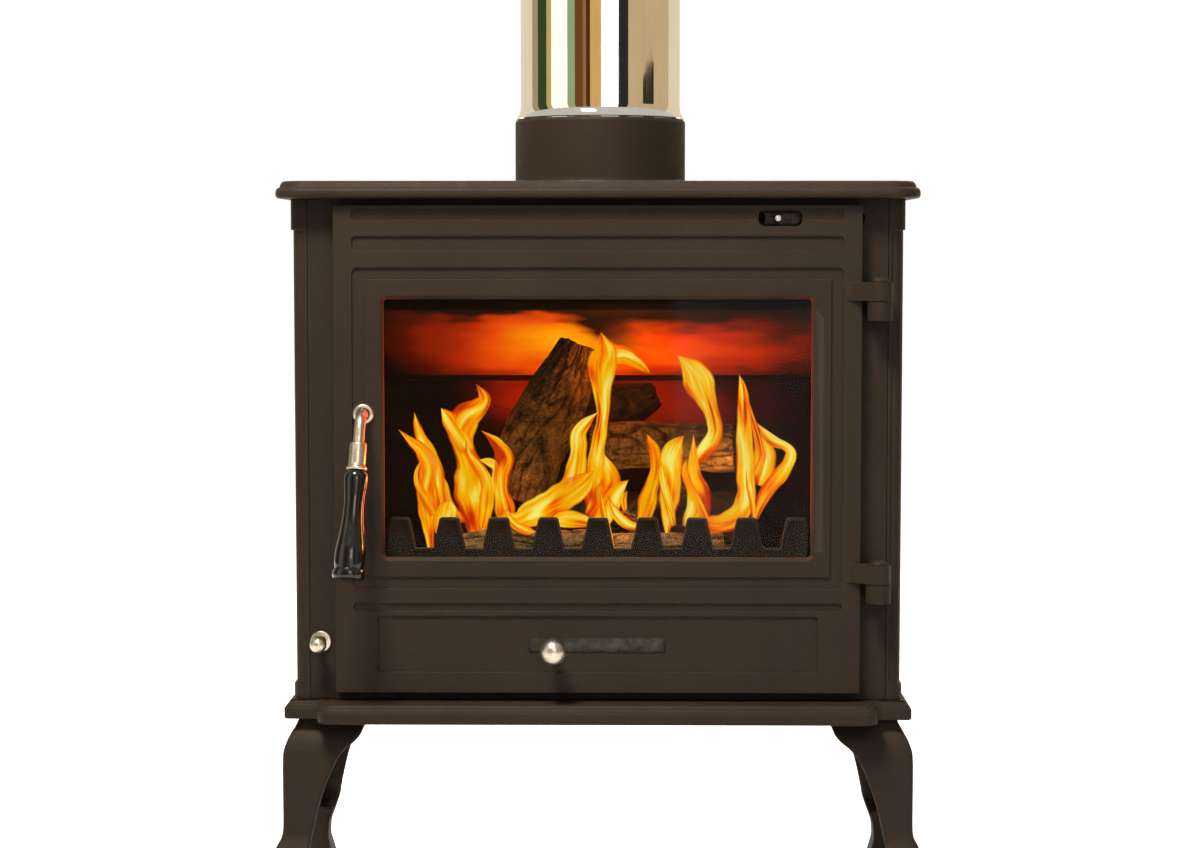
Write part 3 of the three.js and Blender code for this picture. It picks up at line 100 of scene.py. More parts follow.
def node(tree, kind, inputs=None, **settings):
    """Adds a node. Each input is a plain value or the socket that feeds it."""
    made = tree.nodes.new(kind)
    for name, value in settings.items():
        setattr(made, name, value)
    for name, value in (inputs or {}).items():
        if isinstance(value, bpy.types.NodeSocket):
            tree.links.new(value, made.inputs[name])
        else:
            made.inputs[name].default_value = value
    return made


def new_material(name, **values):
    """A material with a Principled shader: its plain values are set on the shader's sockets."""
    material = bpy.data.materials.new(name)
    material.use_nodes = True
    tree = material.node_tree
    shader = tree.nodes["Principled BSDF"]
    for key, value in values.items():
        shader.inputs[key.replace("_", " ")].default_value = value
    return material, tree, shader


def coordinates(tree, stretch=(1, 1, 1)):
    """The object's own coordinates in metres, stretched along each axis."""
    place = node(tree, "ShaderNodeTexCoord").outputs["Object"]
    return node(tree, "ShaderNodeMapping", {"Vector": place, "Scale": stretch}).outputs["Vector"]


def grain(tree, scale, detail=2.0, rough=0.5, stretch=(1, 1, 1), warp=0.0):
    """A noise texture's value, scale being how many grains fit in a metre."""
    inputs = {
        "Vector": coordinates(tree, stretch),
        "Scale": scale,
        "Detail": detail,
        "Roughness": rough,
        "Distortion": warp,
    }
    return node(tree, "ShaderNodeTexNoise", inputs).outputs["Fac"]


def rgba(color):
    """The colour, fully opaque."""
    return (*color, 1.0)


def ramp(tree, value, stops):
    """Turns a value into a colour through stops of (place, colour)."""
    made = node(tree, "ShaderNodeValToRGB", {"Fac": value})
    points = made.color_ramp.elements
    while len(points) < len(stops):
        points.new(0.5)
    for point, (place, color) in zip(points, stops):
        point.position = place
        point.color = rgba(color)
    return made.outputs["Color"]


def spread(tree, value, low, high, out_low, out_high):
    """Maps a value from one range to another, and clamps it."""
    inputs = {
        "Value": value,
        "From Min": low,
        "From Max": high,
        "To Min": out_low,
        "To Max": out_high,
    }
    return node(tree, "ShaderNodeMapRange", inputs).outputs["Result"]


def blend(tree, mode, one, other):
    """Mixes two colours in full."""
    inputs = {0: 1.0, 6: one, 7: other}
    return node(tree, "ShaderNodeMix", inputs, data_type="RGBA", blend_type=mode).outputs[2]


def maths(tree, operation, one, other):
    """Works out one number from two."""
    return node(tree, "ShaderNodeMath", {0: one, 1: other}, operation=operation).outputs["Value"]


def vectors(tree, operation, inputs, output="Vector"):
    """Works out a vector from others, or a vector's length."""
    return node(tree, "ShaderNodeVectorMath", inputs, operation=operation).outputs[output]


def bump(tree, height, depth, strength=1.0, under=None):
    """A bump whose full height is depth metres."""
    inputs = {"Height": height, "Strength": strength, "Distance": depth}
    if under:
        inputs["Normal"] = under
    return node(tree, "ShaderNodeBump", inputs).outputs["Normal"]


def feed(tree, shader, **sockets):
    """Links sockets to the shader's inputs of those names."""
    for key, socket in sockets.items():
        tree.links.new(socket, shader.inputs[key.replace("_", " ")])


def attribute(tree, name):
    """A number that the mesh stores for each vertex."""
    return node(tree, "ShaderNodeAttribute", attribute_name=name).outputs["Fac"]


# ---------------------------------------------------------------- materials


def cast_iron():
    """Matt brown-black stove paint over the pebbled skin of a sand casting."""
    material, tree, shader = new_material("stove_paint", Specular_IOR_Level=0.16)
    patches = grain(tree, 9, 3, 0.55)
    tone = ramp(tree, patches, [(0.3, (0.027, 0.0172, 0.0098)), (0.7, (0.037, 0.0240, 0.0142))])
    specks = spread(tree, grain(tree, 1500, 2, 0.6), 0.35, 0.7, 0.8, 1.25)
    color = blend(tree, "MULTIPLY", tone, specks)
    rough = spread(tree, grain(tree, 140, 3, 0.6), 0.3, 0.7, 0.5, 0.66)
    waves = bump(tree, grain(tree, 45, 2), 0.0004, 0.35)
    pebbles = bump(tree, grain(tree, 650, 3, 0.55), 0.00022, 0.5, waves)
    feed(tree, shader, Base_Color=color, Roughness=rough, Normal=pebbles)
    return material


def rough_iron():
    """The same paint where the casting was left as it came from the sand."""
    material, tree, shader = new_material("rough_paint", Specular_IOR_Level=0.16)
    patches = grain(tree, 14, 3, 0.6)
    tone = ramp(tree, patches, [(0.3, (0.022, 0.0145, 0.0085)), (0.7, (0.032, 0.0215, 0.013))])
    rough = spread(tree, grain(tree, 140, 3, 0.6), 0.3, 0.7, 0.55, 0.72)
    sand = bump(tree, grain(tree, 330, 4, 0.65), 0.0007, 0.75)
    feed(tree, shader, Base_Color=tone, Roughness=rough, Normal=sand)
    return material


def rippled(tree):
    """The object's own coordinates, pushed about a little so that nothing is drawn straight."""
    waves = {"Vector": coordinates(tree, (1.0, 1.0, 3.0)), "Scale": 16, "Detail": 2.0}
    ripple = node(tree, "ShaderNodeTexNoise", waves).outputs["Color"]
    centred = vectors(tree, "SUBTRACT", {0: ripple, 1: (0.5, 0.5, 0.5)})
    push = vectors(tree, "SCALE", {0: centred, "Scale": 0.05})
    place = node(tree, "ShaderNodeTexCoord").outputs["Object"]
    return vectors(tree, "ADD", {0: place, 1: push})


def painted_firelight_at(tree, place, middle, reach, colors):
    """Painted firelight: colours that run from none at the reach along each axis to the brightest at
    the middle.
    """
    scale = [1 / r for r in reach]
    shift = [-m * s for m, s in zip(middle, scale)]
    inputs = {"Vector": place, "Location": shift, "Scale": scale}
    local = node(tree, "ShaderNodeMapping", inputs).outputs["Vector"]
    ball = node(tree, "ShaderNodeTexGradient", {"Vector": local}, gradient_type="SPHERICAL")
    return ramp(tree, ball.outputs["Fac"], colors)


def glowing(name, dark, warm, glows=(), painted_shadow_mask=None):
    """Sooty iron with painted firelight: glows are (middle, reach, colours) of emission painted
    where the fire's light falls, and the mask, if given, makes from the place a factor that keeps
    part of it dark as painted shadow."""
    material, tree, shader = new_material(name, Specular_IOR_Level=0.2, Roughness=0.85)
    tone = ramp(tree, grain(tree, 30, 4, 0.6), [(0.3, dark), (0.75, warm)])
    bumps = bump(tree, grain(tree, 260, 4, 0.6), 0.0006, 0.7)
    feed(tree, shader, Base_Color=tone, Normal=bumps)
    if not glows:
        return material
    place = rippled(tree)
    # painted firelight, as emission in pools where the fire's light falls on the iron
    lights = [painted_firelight_at(tree, place, *glow) for glow in glows]
    painted_firelight = lights[0]
    for light in lights[1:]:
        painted_firelight = blend(tree, "ADD", painted_firelight, light)
    # painted shadow: the mask darkens part of the painted firelight
    if painted_shadow_mask:
        painted_firelight = blend(tree, "MULTIPLY", painted_firelight, painted_shadow_mask(tree, place))
    feed(tree, shader, Emission_Color=painted_firelight)
    shader.inputs["Emission Strength"].default_value = 1.0
    return material


def polished_steel():
    """The bright flue pipe, with faint drawing lines, dust and a few small dents."""
    material, tree, shader = new_material("bright_steel", Metallic=1.0)
    dust = grain(tree, 60, 4, 0.7, (1, 1, 0.35))
    tone = ramp(tree, dust, [(0.35, (0.95, 0.905, 0.81)), (0.8, (0.86, 0.80, 0.69))])
    rough = spread(tree, grain(tree, 900, 2, 0.6, (1, 1, 0.02)), 0.35, 0.75, 0.02, 0.075)
    dents = bump(tree, grain(tree, 22, 1.5, 0.4, (1, 1, 0.5)), 0.0006, 0.18)
    feed(tree, shader, Base_Color=tone, Roughness=rough, Normal=dents)
    return material


def satin_steel():
    """Nickel-plated fittings, brushed round their axis and a little tarnished."""
    material, tree, shader = new_material("satin_steel", Metallic=1.0)
    tarnish = grain(tree, 120, 3, 0.6)
    tone = ramp(tree, tarnish, [(0.3, (0.40, 0.34, 0.26)), (0.7, (0.60, 0.54, 0.44))])
    rough = spread(tree, grain(tree, 1800, 2, 0.5, (1, 0.15, 1)), 0.3, 0.7, 0.26, 0.42)
    lines = bump(tree, grain(tree, 2500, 2, 0.5, (0.2, 1, 1)), 0.00005, 0.5)
    feed(tree, shader, Base_Color=tone, Roughness=rough, Normal=lines)
    return material


def plain_steel():
    """Pressings and fixings of oiled steel, browned by the heat."""
    material, tree, shader = new_material("plain_steel", Metallic=1.0)
    blotch = grain(tree, 90, 4, 0.65)
    tone = ramp(tree, blotch, [(0.3, (0.030, 0.026, 0.022)), (0.7, (0.075, 0.067, 0.058))])
    rough = spread(tree, grain(tree, 300, 3, 0.6), 0.3, 0.7, 0.38, 0.6)
    skin = bump(tree, grain(tree, 900, 2, 0.5), 0.0001, 0.5)
    feed(tree, shader, Base_Color=tone, Roughness=rough, Normal=skin)
    return material


def gloss_black():
    """The turned grip's lacquer, with a faint orange-peel and fingermarks."""
    material, tree, shader = new_material(
        "grip_lacquer", Coat_Weight=0.45, Coat_Roughness=0.12, Specular_IOR_Level=0.25
    )
    smears = grain(tree, 60, 3, 0.6, (1, 1, 0.3))
    tone = ramp(tree, smears, [(0.3, (0.005, 0.004, 0.003)), (0.7, (0.011, 0.009, 0.006))])
    rough = spread(tree, grain(tree, 160, 3, 0.6), 0.35, 0.75, 0.08, 0.25)
    peel = bump(tree, grain(tree, 420, 1, 0.4), 0.00005, 0.4)
    feed(tree, shader, Base_Color=tone, Roughness=rough, Normal=peel)
    return material


def fire_glass():
    """Thin clear glass with a little soot haze in patches."""
    material, tree, shader = new_material("fire_glass", Roughness=0.03, Specular_IOR_Level=0.5)
    haze = grain(tree, 14, 4, 0.6)
    tone = ramp(tree, haze, [(0.3, (0.02, 0.013, 0.009)), (0.7, (0.008, 0.005, 0.004))])
    veil = spread(tree, haze, 0.35, 0.75, 0.05, 0.14)
    feed(tree, shader, Base_Color=tone, Alpha=veil)
    return material


def knitted_fibre():
    """Knitted glass-fibre rope, dark with soot."""
    material, tree, shader = new_material("seal_fibre", Roughness=0.95, Sheen_Weight=0.3)
    fluff = grain(tree, 900, 3, 0.6)
    tone = ramp(tree, fluff, [(0.35, (0.02, 0.019, 0.018)), (0.7, (0.09, 0.085, 0.08))])
    rows = {"Vector": coordinates(tree), "Scale": 160, "Distortion": 2.0, "Detail": 2.0}
    weave = node(tree, "ShaderNodeTexWave", rows, bands_direction="DIAGONAL").outputs["Fac"]
    feed(tree, shader, Base_Color=tone, Normal=bump(tree, weave, 0.0008, 0.8))
    return material


BAFFLE_MIDDLE = (BAFFLE_LOW + BAFFLE_HIGH) / 2
BLACK = (0.0, 0.0, 0.0)
WHITE = (1.0, 1.0, 1.0)


def painted_shadow_wedge(tree, place):
    """Painted shadow: black above a line that slants down from the left, then runs level to the right,
    and painted shade on the side that faces away from the fire."""
    parts = node(tree, "ShaderNodeSeparateXYZ", {"Vector": place}).outputs
    slanted = maths(tree, "ADD", parts["Z"], maths(tree, "MULTIPLY", parts["X"], 0.55))
    low = BAFFLE_LOW.z
    under_slant = spread(tree, slanted, low + 0.034, low + 0.052, 1.0, 0.0)
    under_level = spread(tree, parts["Z"], low + 0.044, low + 0.062, 1.0, 0.0)
    right = spread(tree, parts["X"], 0.0, 0.05, 0.0, 1.0)
    lit = maths(tree, "MAXIMUM", under_slant, maths(tree, "MULTIPLY", under_level, right))
    lit = maths(tree, "MULTIPLY", lit, spread(tree, parts["Z"], low + 0.064, low + 0.070, 1.0, 0.0))
    # painted shade: faces not turned down towards the fire lose the painted firelight
    facing = node(tree, "ShaderNodeNewGeometry").outputs["Normal"]
    upward = node(tree, "ShaderNodeSeparateXYZ", {"Vector": facing}).outputs["Z"]
    return maths(tree, "MULTIPLY", lit, spread(tree, upward, -0.5, -0.1, 1.0, 0.06))


def baffle_painted_firelight():
    """The baffle with painted firelight, brightest over the fire's middle and dull red to its sides."""
    z = BAFFLE_LOW.z
    left = (-0.030, BAFFLE_MIDDLE.y, z + 0.034)
    right = (0.070, BAFFLE_MIDDLE.y, z + 0.026)
    # painted firelight: a bright pool over the fire's middle and a dull red pool to its right
    heat_and_painted_firelight = [
        (0.0, BLACK),
        (0.22, (0.09, 0.003, 0.0)),
        (0.42, (0.45, 0.018, 0.0)),
        (0.62, (0.95, 0.08, 0.0)),
        (0.80, (1.0, 0.25, 0.0)),
        (1.0, (1.0, 0.48, 0.003)),
    ]
    dull = [
        (0.0, BLACK),
        (0.3, (0.10, 0.004, 0.0)),
        (0.65, (0.55, 0.022, 0.0)),
        (1.0, (0.90, 0.085, 0.0)),
    ]
    glows = [(left, (0.19, 0.6, 0.075), heat_and_painted_firelight), (right, (0.20, 0.6, 0.045), dull)]
    return glowing("baffle_painted_firelight", (0.008, 0.004, 0.002), (0.03, 0.013, 0.006), glows, painted_shadow_wedge)


def liner_iron():
    """The liners, with red painted firelight where the fire burns against them."""
    red = [(0.0, BLACK), (0.4, (0.035, 0.0006, 0.0)), (1.0, (0.42, 0.010, 0.0))]
    y = LINER_LOW.y
    # painted firelight: red pools on the liners where the fire burns against them
    glows = [
        ((0.045, y, LINER_HIGH.z - 0.02), (0.15, 0.08, 0.075), red),
        ((-0.080, y, LINER_HIGH.z - 0.01), (0.075, 0.08, 0.055), red),
    ]
    return glowing("liner_iron", (0.009, 0.003, 0.0015), (0.024, 0.008, 0.004), glows)


def hot_iron():
    """Iron inside the firebox, sooty but not lit."""
    return glowing("sooty_iron", (0.006, 0.004, 0.003), (0.02, 0.013, 0.009))


MATERIALS = {
    "cast_iron": cast_iron(),
    "hot_iron": hot_iron(),
    "liner_iron": liner_iron(),
    "bright_steel": polished_steel(),
    "satin_steel": satin_steel(),
    "plain_steel": plain_steel(),
    "grip_black": gloss_black(),
    "heat_glass": fire_glass(),
    "seal_fibre": knitted_fibre(),
}
ROUGH_IRON = rough_iron()
BAFFLE_PAINTED_FIRELIGHT = baffle_painted_firelight()

for name, carried in frame["nodes"].items():
    carried.data.materials.clear()
    carried.data.materials.append(MATERIALS[SLOT_OF[name]])

# ---------------------------------------------------------------- places and sizes of nodes


def middle_of(node_name):
    """The middle of a node's box."""
    low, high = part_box(node_name)
    return (low + high) / 2


def end_of(node_name, axis, far=False):
    """The middle of the low face of a node's box along an axis, or of its high face."""
    spot = middle_of(node_name)
    spot[axis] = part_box(node_name)[far][axis]
    return spot


def size_of(node_name):
    """The size of a node's box in millimetres."""
    low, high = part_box(node_name)
    return (high - low) / MM


# ---------------------------------------------------------------- mesh helpers


def placed(name, data):
    """Puts an object with that data into the scene."""
    made = bpy.data.objects.new(name, data)
    bpy.context.scene.collection.objects.link(made)
    return made


def piece_from(name, mesh, material):
    """An object with that mesh and one material."""
    made = placed(name, mesh)
    mesh.materials.clear()
    mesh.materials.append(material)
    return made


def finished(piece, node_name):
    """The piece stands for that CAD node, on its body."""
    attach(piece, BODY_OF[node_name])
    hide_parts(node_name)


def smooth_faces(mesh, angle=35):
    """Smooth shading that keeps the edges sharper than the angle."""
    mesh.polygons.foreach_set("use_smooth", [True] * len(mesh.polygons))
    mesh.set_sharp_from_angle(angle=math.radians(angle))


def applied(piece):
    """Turns the piece's modifiers into its mesh."""
    graph = bpy.context.evaluated_depsgraph_get()
    mesh = bpy.data.meshes.new_from_object(piece.evaluated_get(graph))
    piece.modifiers.clear()
    piece.data = mesh


@contextmanager
def editing(mesh):
    """Opens a mesh to be edited and writes it back afterwards."""
    shape = bmesh.new()
    shape.from_mesh(mesh)
    yield shape
    shape.to_mesh(mesh)
    shape.free()


def copy_of(node_name):
    """A copy of a CAD node's mesh, for a finer piece to be made of."""
    mesh = frame["nodes"][node_name].data.copy()
    mesh.name = node_name + "_fine"
    return mesh


def gridded(shape, cell):
    """Cuts the shape's flat faces into cells, so that no long sliver meets an edge. The first
    cut stands part of a cell in, where no plane of the shape lies."""
    bmesh.ops.remove_doubles(shape, verts=shape.verts, dist=WELD)
    flat, first_cut = math.radians(0.6), 0.63
    bmesh.ops.dissolve_limit(shape, angle_limit=flat, verts=shape.verts, edges=shape.edges)
    for axis in range(3):
        low = min(v.co[axis] for v in shape.verts)
        high = max(v.co[axis] for v in shape.verts)
        normal = Vector([float(axis == i) for i in range(3)])
        spot = low + first_cut * cell
        while spot < high:
            cut = bmesh.ops.bisect_plane(
                shape,
                geom=[*shape.verts, *shape.edges, *shape.faces],
                plane_co=normal * spot,
                plane_no=normal,
                dist=1e-6,
            )
            for part in cut["geom_cut"]:
                if isinstance(part, bmesh.types.BMEdge):
                    part.seam = True
            spot += cell
    bmesh.ops.dissolve_limit(
        shape, angle_limit=flat, verts=[], edges=shape.edges, delimit={"SEAM"}
    )


def softened(node_name, width=0.6, segments=2, material=None, cell=13):
    """The casting or pressing of a CAD node with its edges rounded off, sizes in millimetres."""
    mesh = copy_of(node_name)
    with editing(mesh) as shape:
        gridded(shape, cell * MM)
    piece = piece_from(node_name + "_fine", mesh, material or MATERIALS[SLOT_OF[node_name]])
    mesh.polygons.foreach_set("use_smooth", [True] * len(mesh.polygons))
    rounding = piece.modifiers.new("rounding", "BEVEL")
    rounding.width = width * MM
    rounding.segments = segments
    rounding.limit_method = "ANGLE"
    rounding.angle_limit = math.radians(25)
    rounding.use_clamp_overlap = False
    shading = piece.modifiers.new("shading", "WEIGHTED_NORMAL")
    shading.weight = 80
    applied(piece)
    finished(piece, node_name)


def mesh_of(name, points, faces):
    mesh = bpy.data.meshes.new(name)
    mesh.from_pydata(points, [], faces)
    mesh.update()
    return mesh


def bands(rings, sides, first=0, loop=False):
    """The faces between rings of points that follow each other in a list, from its point first
    on. With loop, the last ring is joined to the first one."""
    faces = []
    for i in range(rings if loop else rings - 1):
        low, high = first + i * sides, first + (i + 1) % rings * sides
        for k in range(sides):
            after = (k + 1) % sides
            faces.append((low + k, low + after, high + after, high + k))
    return faces


def capped(rings, sides, first=0):
    """The faces of a closed bar: its rings of points with a cap at each end."""
    last = first + (rings - 1) * sides
    start = tuple(reversed(range(first, first + sides)))
    return [start, *bands(rings, sides, first), tuple(range(last, last + sides))]


def turned(name, profile, middle, axis, material, sides=64, angle=35):
    """A profile of (radius, height) in millimetres turned round an axis through a point."""
    turn = Vector((0, 0, 1)).rotation_difference(Vector(axis)).to_matrix()
    closed = profile[0] == profile[-1]
    rings = profile[:-1] if closed else profile
    points = []
    for radius, height in rings:
        for k in range(sides):
            a = TAU * k / sides
            spot = Vector((radius * math.cos(a), radius * math.sin(a), height)) * MM
            points.append(turn @ spot + middle)
    mesh = mesh_of(name, points, bands(len(rings), sides, loop=closed))
    with editing(mesh) as shape:
        bmesh.ops.remove_doubles(shape, verts=shape.verts, dist=1e-7)
        bmesh.ops.recalc_face_normals(shape, faces=shape.faces)
    smooth_faces(mesh, angle)
    return piece_from(name, mesh, material)


def lathe(node_name, profile, spot, axis, sides=64, angle=35, name=None):
    """Puts a turned piece, with the node's own material, in a CAD node's place."""
    material = MATERIALS[SLOT_OF[node_name]]
    piece = turned(name or node_name + "_fine", profile, spot, axis, material, sides, angle)
    finished(piece, node_name)


def rounded(profile, radius, steps=4, closed=False):
    """The profile with each corner cut back by an arc of about that radius."""
    out = []
    count = len(profile)
    for i, corner in enumerate(profile):
        if not closed and i in (0, count - 1):
            out.append(corner)
            continue
        here = Vector(corner)
        before = Vector(profile[i - 1]) - here
        after = Vector(profile[(i + 1) % count]) - here
        reach = min(radius, before.length * 0.45, after.length * 0.45)
        start = here + before.normalized() * reach
        end = here + after.normalized() * reach
        for step in range(steps + 1):
            t = step / steps
            spot = start * (1 - t) ** 2 + here * 2 * t * (1 - t) + end * t * t
            out.append((spot.x, spot.y))
    return out


def rounded_ring(profile, radius):
    """A closed profile for turning, with its corners rounded."""
    ring = rounded(profile, radius, closed=True)
    return [*ring, ring[0]]


def curve_through(points, steps):
    """A smooth curve through points of any dimension, with steps between each two."""
    spots = [Vector(p) for p in points]
    out = []
    for i in range(len(spots) - 1):
        p0, p1, p2 = spots[max(i - 1, 0)], spots[i], spots[i + 1]
        p3 = spots[min(i + 2, len(spots) - 1)]
        for step in range(steps):
            t = step / steps
            square = (2 * p0 - 5 * p1 + 4 * p2 - p3) * t * t
            cube = (3 * p1 - p0 - 3 * p2 + p3) * t**3
            out.append(0.5 * (2 * p1 + (p2 - p0) * t + square + cube))
    out.append(spots[-1])
    return out


def sweep(name, spine, radii, material, sides=32):
    """A round bar along a list of points, with a radius in metres at each of them."""
    points = []
    side = Vector((1, 0, 0))
    for i, spot in enumerate(spine):
        along = (spine[min(i + 1, len(spine) - 1)] - spine[max(i - 1, 0)]).normalized()
        side = (side - along * side.dot(along)).normalized()
        other = along.cross(side)
        for k in range(sides):
            a = TAU * k / sides
            points.append(spot + (side * math.cos(a) + other * math.sin(a)) * radii[i])
    mesh = mesh_of(name, points, capped(len(spine), sides))
    smooth_faces(mesh)
    return piece_from(name, mesh, material)


# ---------------------------------------------------------------- moulded plates


def arc(x, y, radius, start, end, steps):
    """Points of an arc round (x, y), its angles in quarter turns."""
    angles = [math.radians(90 * (start + (end - start) * i / steps)) for i in range(steps + 1)]
    return [(x + radius * math.cos(a), y + radius * math.sin(a)) for a in angles]


def rounded_box(x0, y0, x1, y1, corner, steps):
    """A rectangle with round corners, anticlockwise from its lower right."""
    left, right, low, high = x0 + corner, x1 - corner, y0 + corner, y1 - corner
    outline = []
    for turn, (x, y) in enumerate([(right, low), (right, high), (left, high), (left, low)], -1):
        outline += arc(x, y, corner, turn, turn + 1, steps)
    return outline


def set_in(outline, distance):
    """The closed outline moved inwards, point for point."""
    count = len(outline)
    out = []
    for i, here in enumerate(outline):
        before, after = Vector(outline[i - 1]), Vector(outline[(i + 1) % count])
        into = (Vector(here) - before).normalized()
        onward = (after - Vector(here)).normalized()
        normal = Vector((-into.y - onward.y, into.x + onward.x)).normalized()
        stretch = normal.x * -onward.y + normal.y * onward.x
        out.append(Vector(here) + normal * (distance / stretch))
    return out


def moulded_plate(name, outline, bottom, profile, material, hole=None):
    """A plate whose edge follows (inset, height) steps, with an optional round hole through it.
    The outline is in millimetres, x from the middle and y back from the front, anticlockwise."""
    count = len(outline)
    rings = [(set_in(outline, inset), bottom + height) for inset, height in profile]
    if hole:
        x, y, radius = hole
        angles = [math.atan2(p[1] - y, p[0] - x) for p in outline]
        circle = [Vector((x + radius * math.cos(a), y + radius * math.sin(a))) for a in angles]
        rings = [(circle, rings[0][1]), *rings, (circle, rings[-1][1])]
    points = [at(p.x, p.y, height) for ring, height in rings for p in ring]
    faces = bands(len(rings), count, loop=True) if hole else capped(len(rings), count)
    mesh = mesh_of(name, points, faces)
    smooth_faces(mesh, 28)
    return piece_from(name, mesh, material)


def in_mm(corner):
    """A row-frame point as (x from the middle, back from the front, height), in millimetres."""
    return corner.x / MM, (corner.y - FRONT) / MM, corner.z / MM


def drilled(piece, spots, radius, low, high):
    """Cuts upright holes through the piece; spots are (x, y) in the row frame."""
    for x, y in spots:
        profile = [(0, low), (radius, low), (radius, high), (0, high)]
        drill = turned("drill", profile, Vector((x, y, 0)), UP, MATERIALS["cast_iron"], 24)
        cutter = piece.modifiers.new("hole", "BOOLEAN")
        cutter.operation = "DIFFERENCE"
        cutter.object = drill
        cutter.solver = "EXACT"
        applied(piece)
        bpy.data.objects.remove(drill)
    smooth_faces(piece.data, 28)


CORNERS = [f"{end}_{side}" for end in ("front", "rear") for side in ("left", "right")]


def top_plate():
    """The hob: an ovolo under a small fillet, rounded at the corners, with a hole for the flue."""
    x0, y0, z0 = in_mm(PLATE_LOW)
    x1, y1, z1 = in_mm(PLATE_HIGH)
    corner, flue_hole = 26, 72.6
    thick = z1 - z0
    edge = [(6, 0), (2.4, 0), (0.8, 0.9), (0.1, 2.2), (0, 3.6), (0.05, 5.6), (0.5, 7.2)]
    edge += [(1.2, 8.2), (2.0, 8.9), (2.9, 9.2), (3.4, 9.5), (3.8, 10.2), (4.1, 11.4)]
    edge += [(4.7, 12.7), (5.4, 13.6), (6.4, thick - 0.5), (7.6, thick - 0.1), (9, thick)]
    x, back, _ = in_mm(middle_of("flue_collar"))
    outline = rounded_box(x0, y0, x1, y1, corner, 14)
    hole = (x, back, flue_hole)
    plate = moulded_plate("top_plate_fine", outline, z0, edge, MATERIALS["cast_iron"], hole)
    finished(plate, "top_plate")


def pan_runners(z):
    """Two bars on the base plate's top at that height, which the ash pan slides on."""
    half, front, back, sunk, gap = 5, 18, 266, 0.7, 0.3
    tall = in_mm(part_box("ash_pan")[0])[2] - z - gap
    profile = [(0, 0), (0, tall + sunk - 0.8), (0.8, tall + sunk)]
    for x in (-110, 110):
        outline = [(x - half, front), (x + half, front), (x + half, back), (x - half, back)]
        yield moulded_plate("runner", outline, z - sunk, profile, MATERIALS["cast_iron"])


def base_plate():
    """The base: its middle stands forward of its corners, with a moulded upper edge."""
    x0, y0, z0 = in_mm(BASE_LOW)
    x1, y1, _ = in_mm(BASE_HIGH)
    thick, step, half, cove, bend, corner = 16.5, 27, 245, 7, 12, 5
    back_of_step = y0 + step
    outline = (
        arc(x1 - corner, back_of_step + corner, corner, -1, 0, 6)
        + [(x1, y1), (x0, y1)]
        + arc(x0 + corner, back_of_step + corner, corner, 2, 3, 6)
        + arc(-half - cove, back_of_step - cove, cove, 1, 0, 6)
        + arc(-half + bend, y0 + bend, bend, 2, 3, 10)
        + arc(half - bend, y0 + bend, bend, -1, 0, 10)
        + arc(half + cove, back_of_step - cove, cove, 2, 1, 6)
    )
    edge = [(1.6, 0), (0.7, 0.3), (0.15, 0.9), (0, 1.8), (0, 8.8), (0.3, 9.6), (1.0, 10.2)]
    edge += [(1.8, 10.6), (2.1, 11.4), (2.4, 12.4), (3.1, 13.2), (4.2, 13.8), (5.2, 14.3)]
    edge += [(5.8, 15.2), (6.2, 16.1), (7.0, thick)]
    plate = moulded_plate("base_plate_fine", outline, z0, edge, MATERIALS["cast_iron"])
    with editing(plate.data) as shape:
        for runner in pan_runners(z0 + thick):
            shape.from_mesh(runner.data)
            bpy.data.objects.remove(runner)
    rods = [middle_of(corner_name + "_tie_rod").to_2d() for corner_name in CORNERS]
    bolts = [middle_of(corner_name + "_leg_bolt").to_2d() for corner_name in CORNERS]
    hole, nut_hole, nut_depth, past = 4.4, 8, 6.1, 3
    drilled(plate, rods, nut_hole, z0 - 2, z0 + nut_depth)
    drilled(plate, [*rods, *bolts], hole, z0 - past, z0 + thick + 3.5)
    finished(plate, "base_plate")


top_plate()
base_plate()

# ---------------------------------------------------------------- legs


def leg(node_name):
    """A cast leg with its sharp knee rounded off, as it comes from a sand mould."""
    voxel, flat, passes = 1.7 * MM, 0.6 * MM, 5
    mesh = copy_of(node_name)
    with editing(mesh) as shape:
        bmesh.ops.remove_doubles(shape, verts=shape.verts, dist=WELD)
    piece = piece_from(node_name + "_fine", mesh, MATERIALS["cast_iron"])
    skin = piece.modifiers.new("skin", "REMESH")
    skin.mode = "VOXEL"
    skin.voxel_size = voxel
    applied(piece)
    low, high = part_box(node_name)
    with editing(piece.data) as shape:
        loose = [v for v in shape.verts if low.z + flat < v.co.z < high.z - flat]
        for _ in range(passes):
            bmesh.ops.smooth_vert(
                shape, verts=loose, factor=0.5, use_axis_x=True, use_axis_y=True, use_axis_z=True
            )
        for v in shape.verts:
            v.co = Vector(min(max(c, lo), hi) for c, lo, hi in zip(v.co, low, high))
    smooth_faces(piece.data, 50)
    finished(piece, node_name)


for corner_name in CORNERS:
    leg(corner_name + "_leg")

# ---------------------------------------------------------------- other castings and pressings

for name in ("left_side_panel", "right_side_panel", "back_panel"):
    softened(name, 0.4)
softened("door_casting", 0.3, cell=9)
softened("front_frame", 0.4, material=ROUGH_IRON)
for name in ("grate_frame", "riddle_grate", "left_liner", "right_liner", "back_liner"):
    softened(name, 0.8)
softened("baffle_plate", 0.8, material=BAFFLE_PAINTED_FIRELIGHT)
softened("ash_pan", 0.4)
fittings = [n for n in frame["nodes"] if "bolt" in n or "tie_rod" in n or "clip" in n]
fittings += ["latch_tongue", "latch_nut", "primary_air_slider", "upper_air_slider", "riddle_rod"]
fittings += ["primary_rail_lower", "primary_rail_upper", "door_glass", "upper_air_pin"]
for name in fittings:
    softened(name, 0.3)


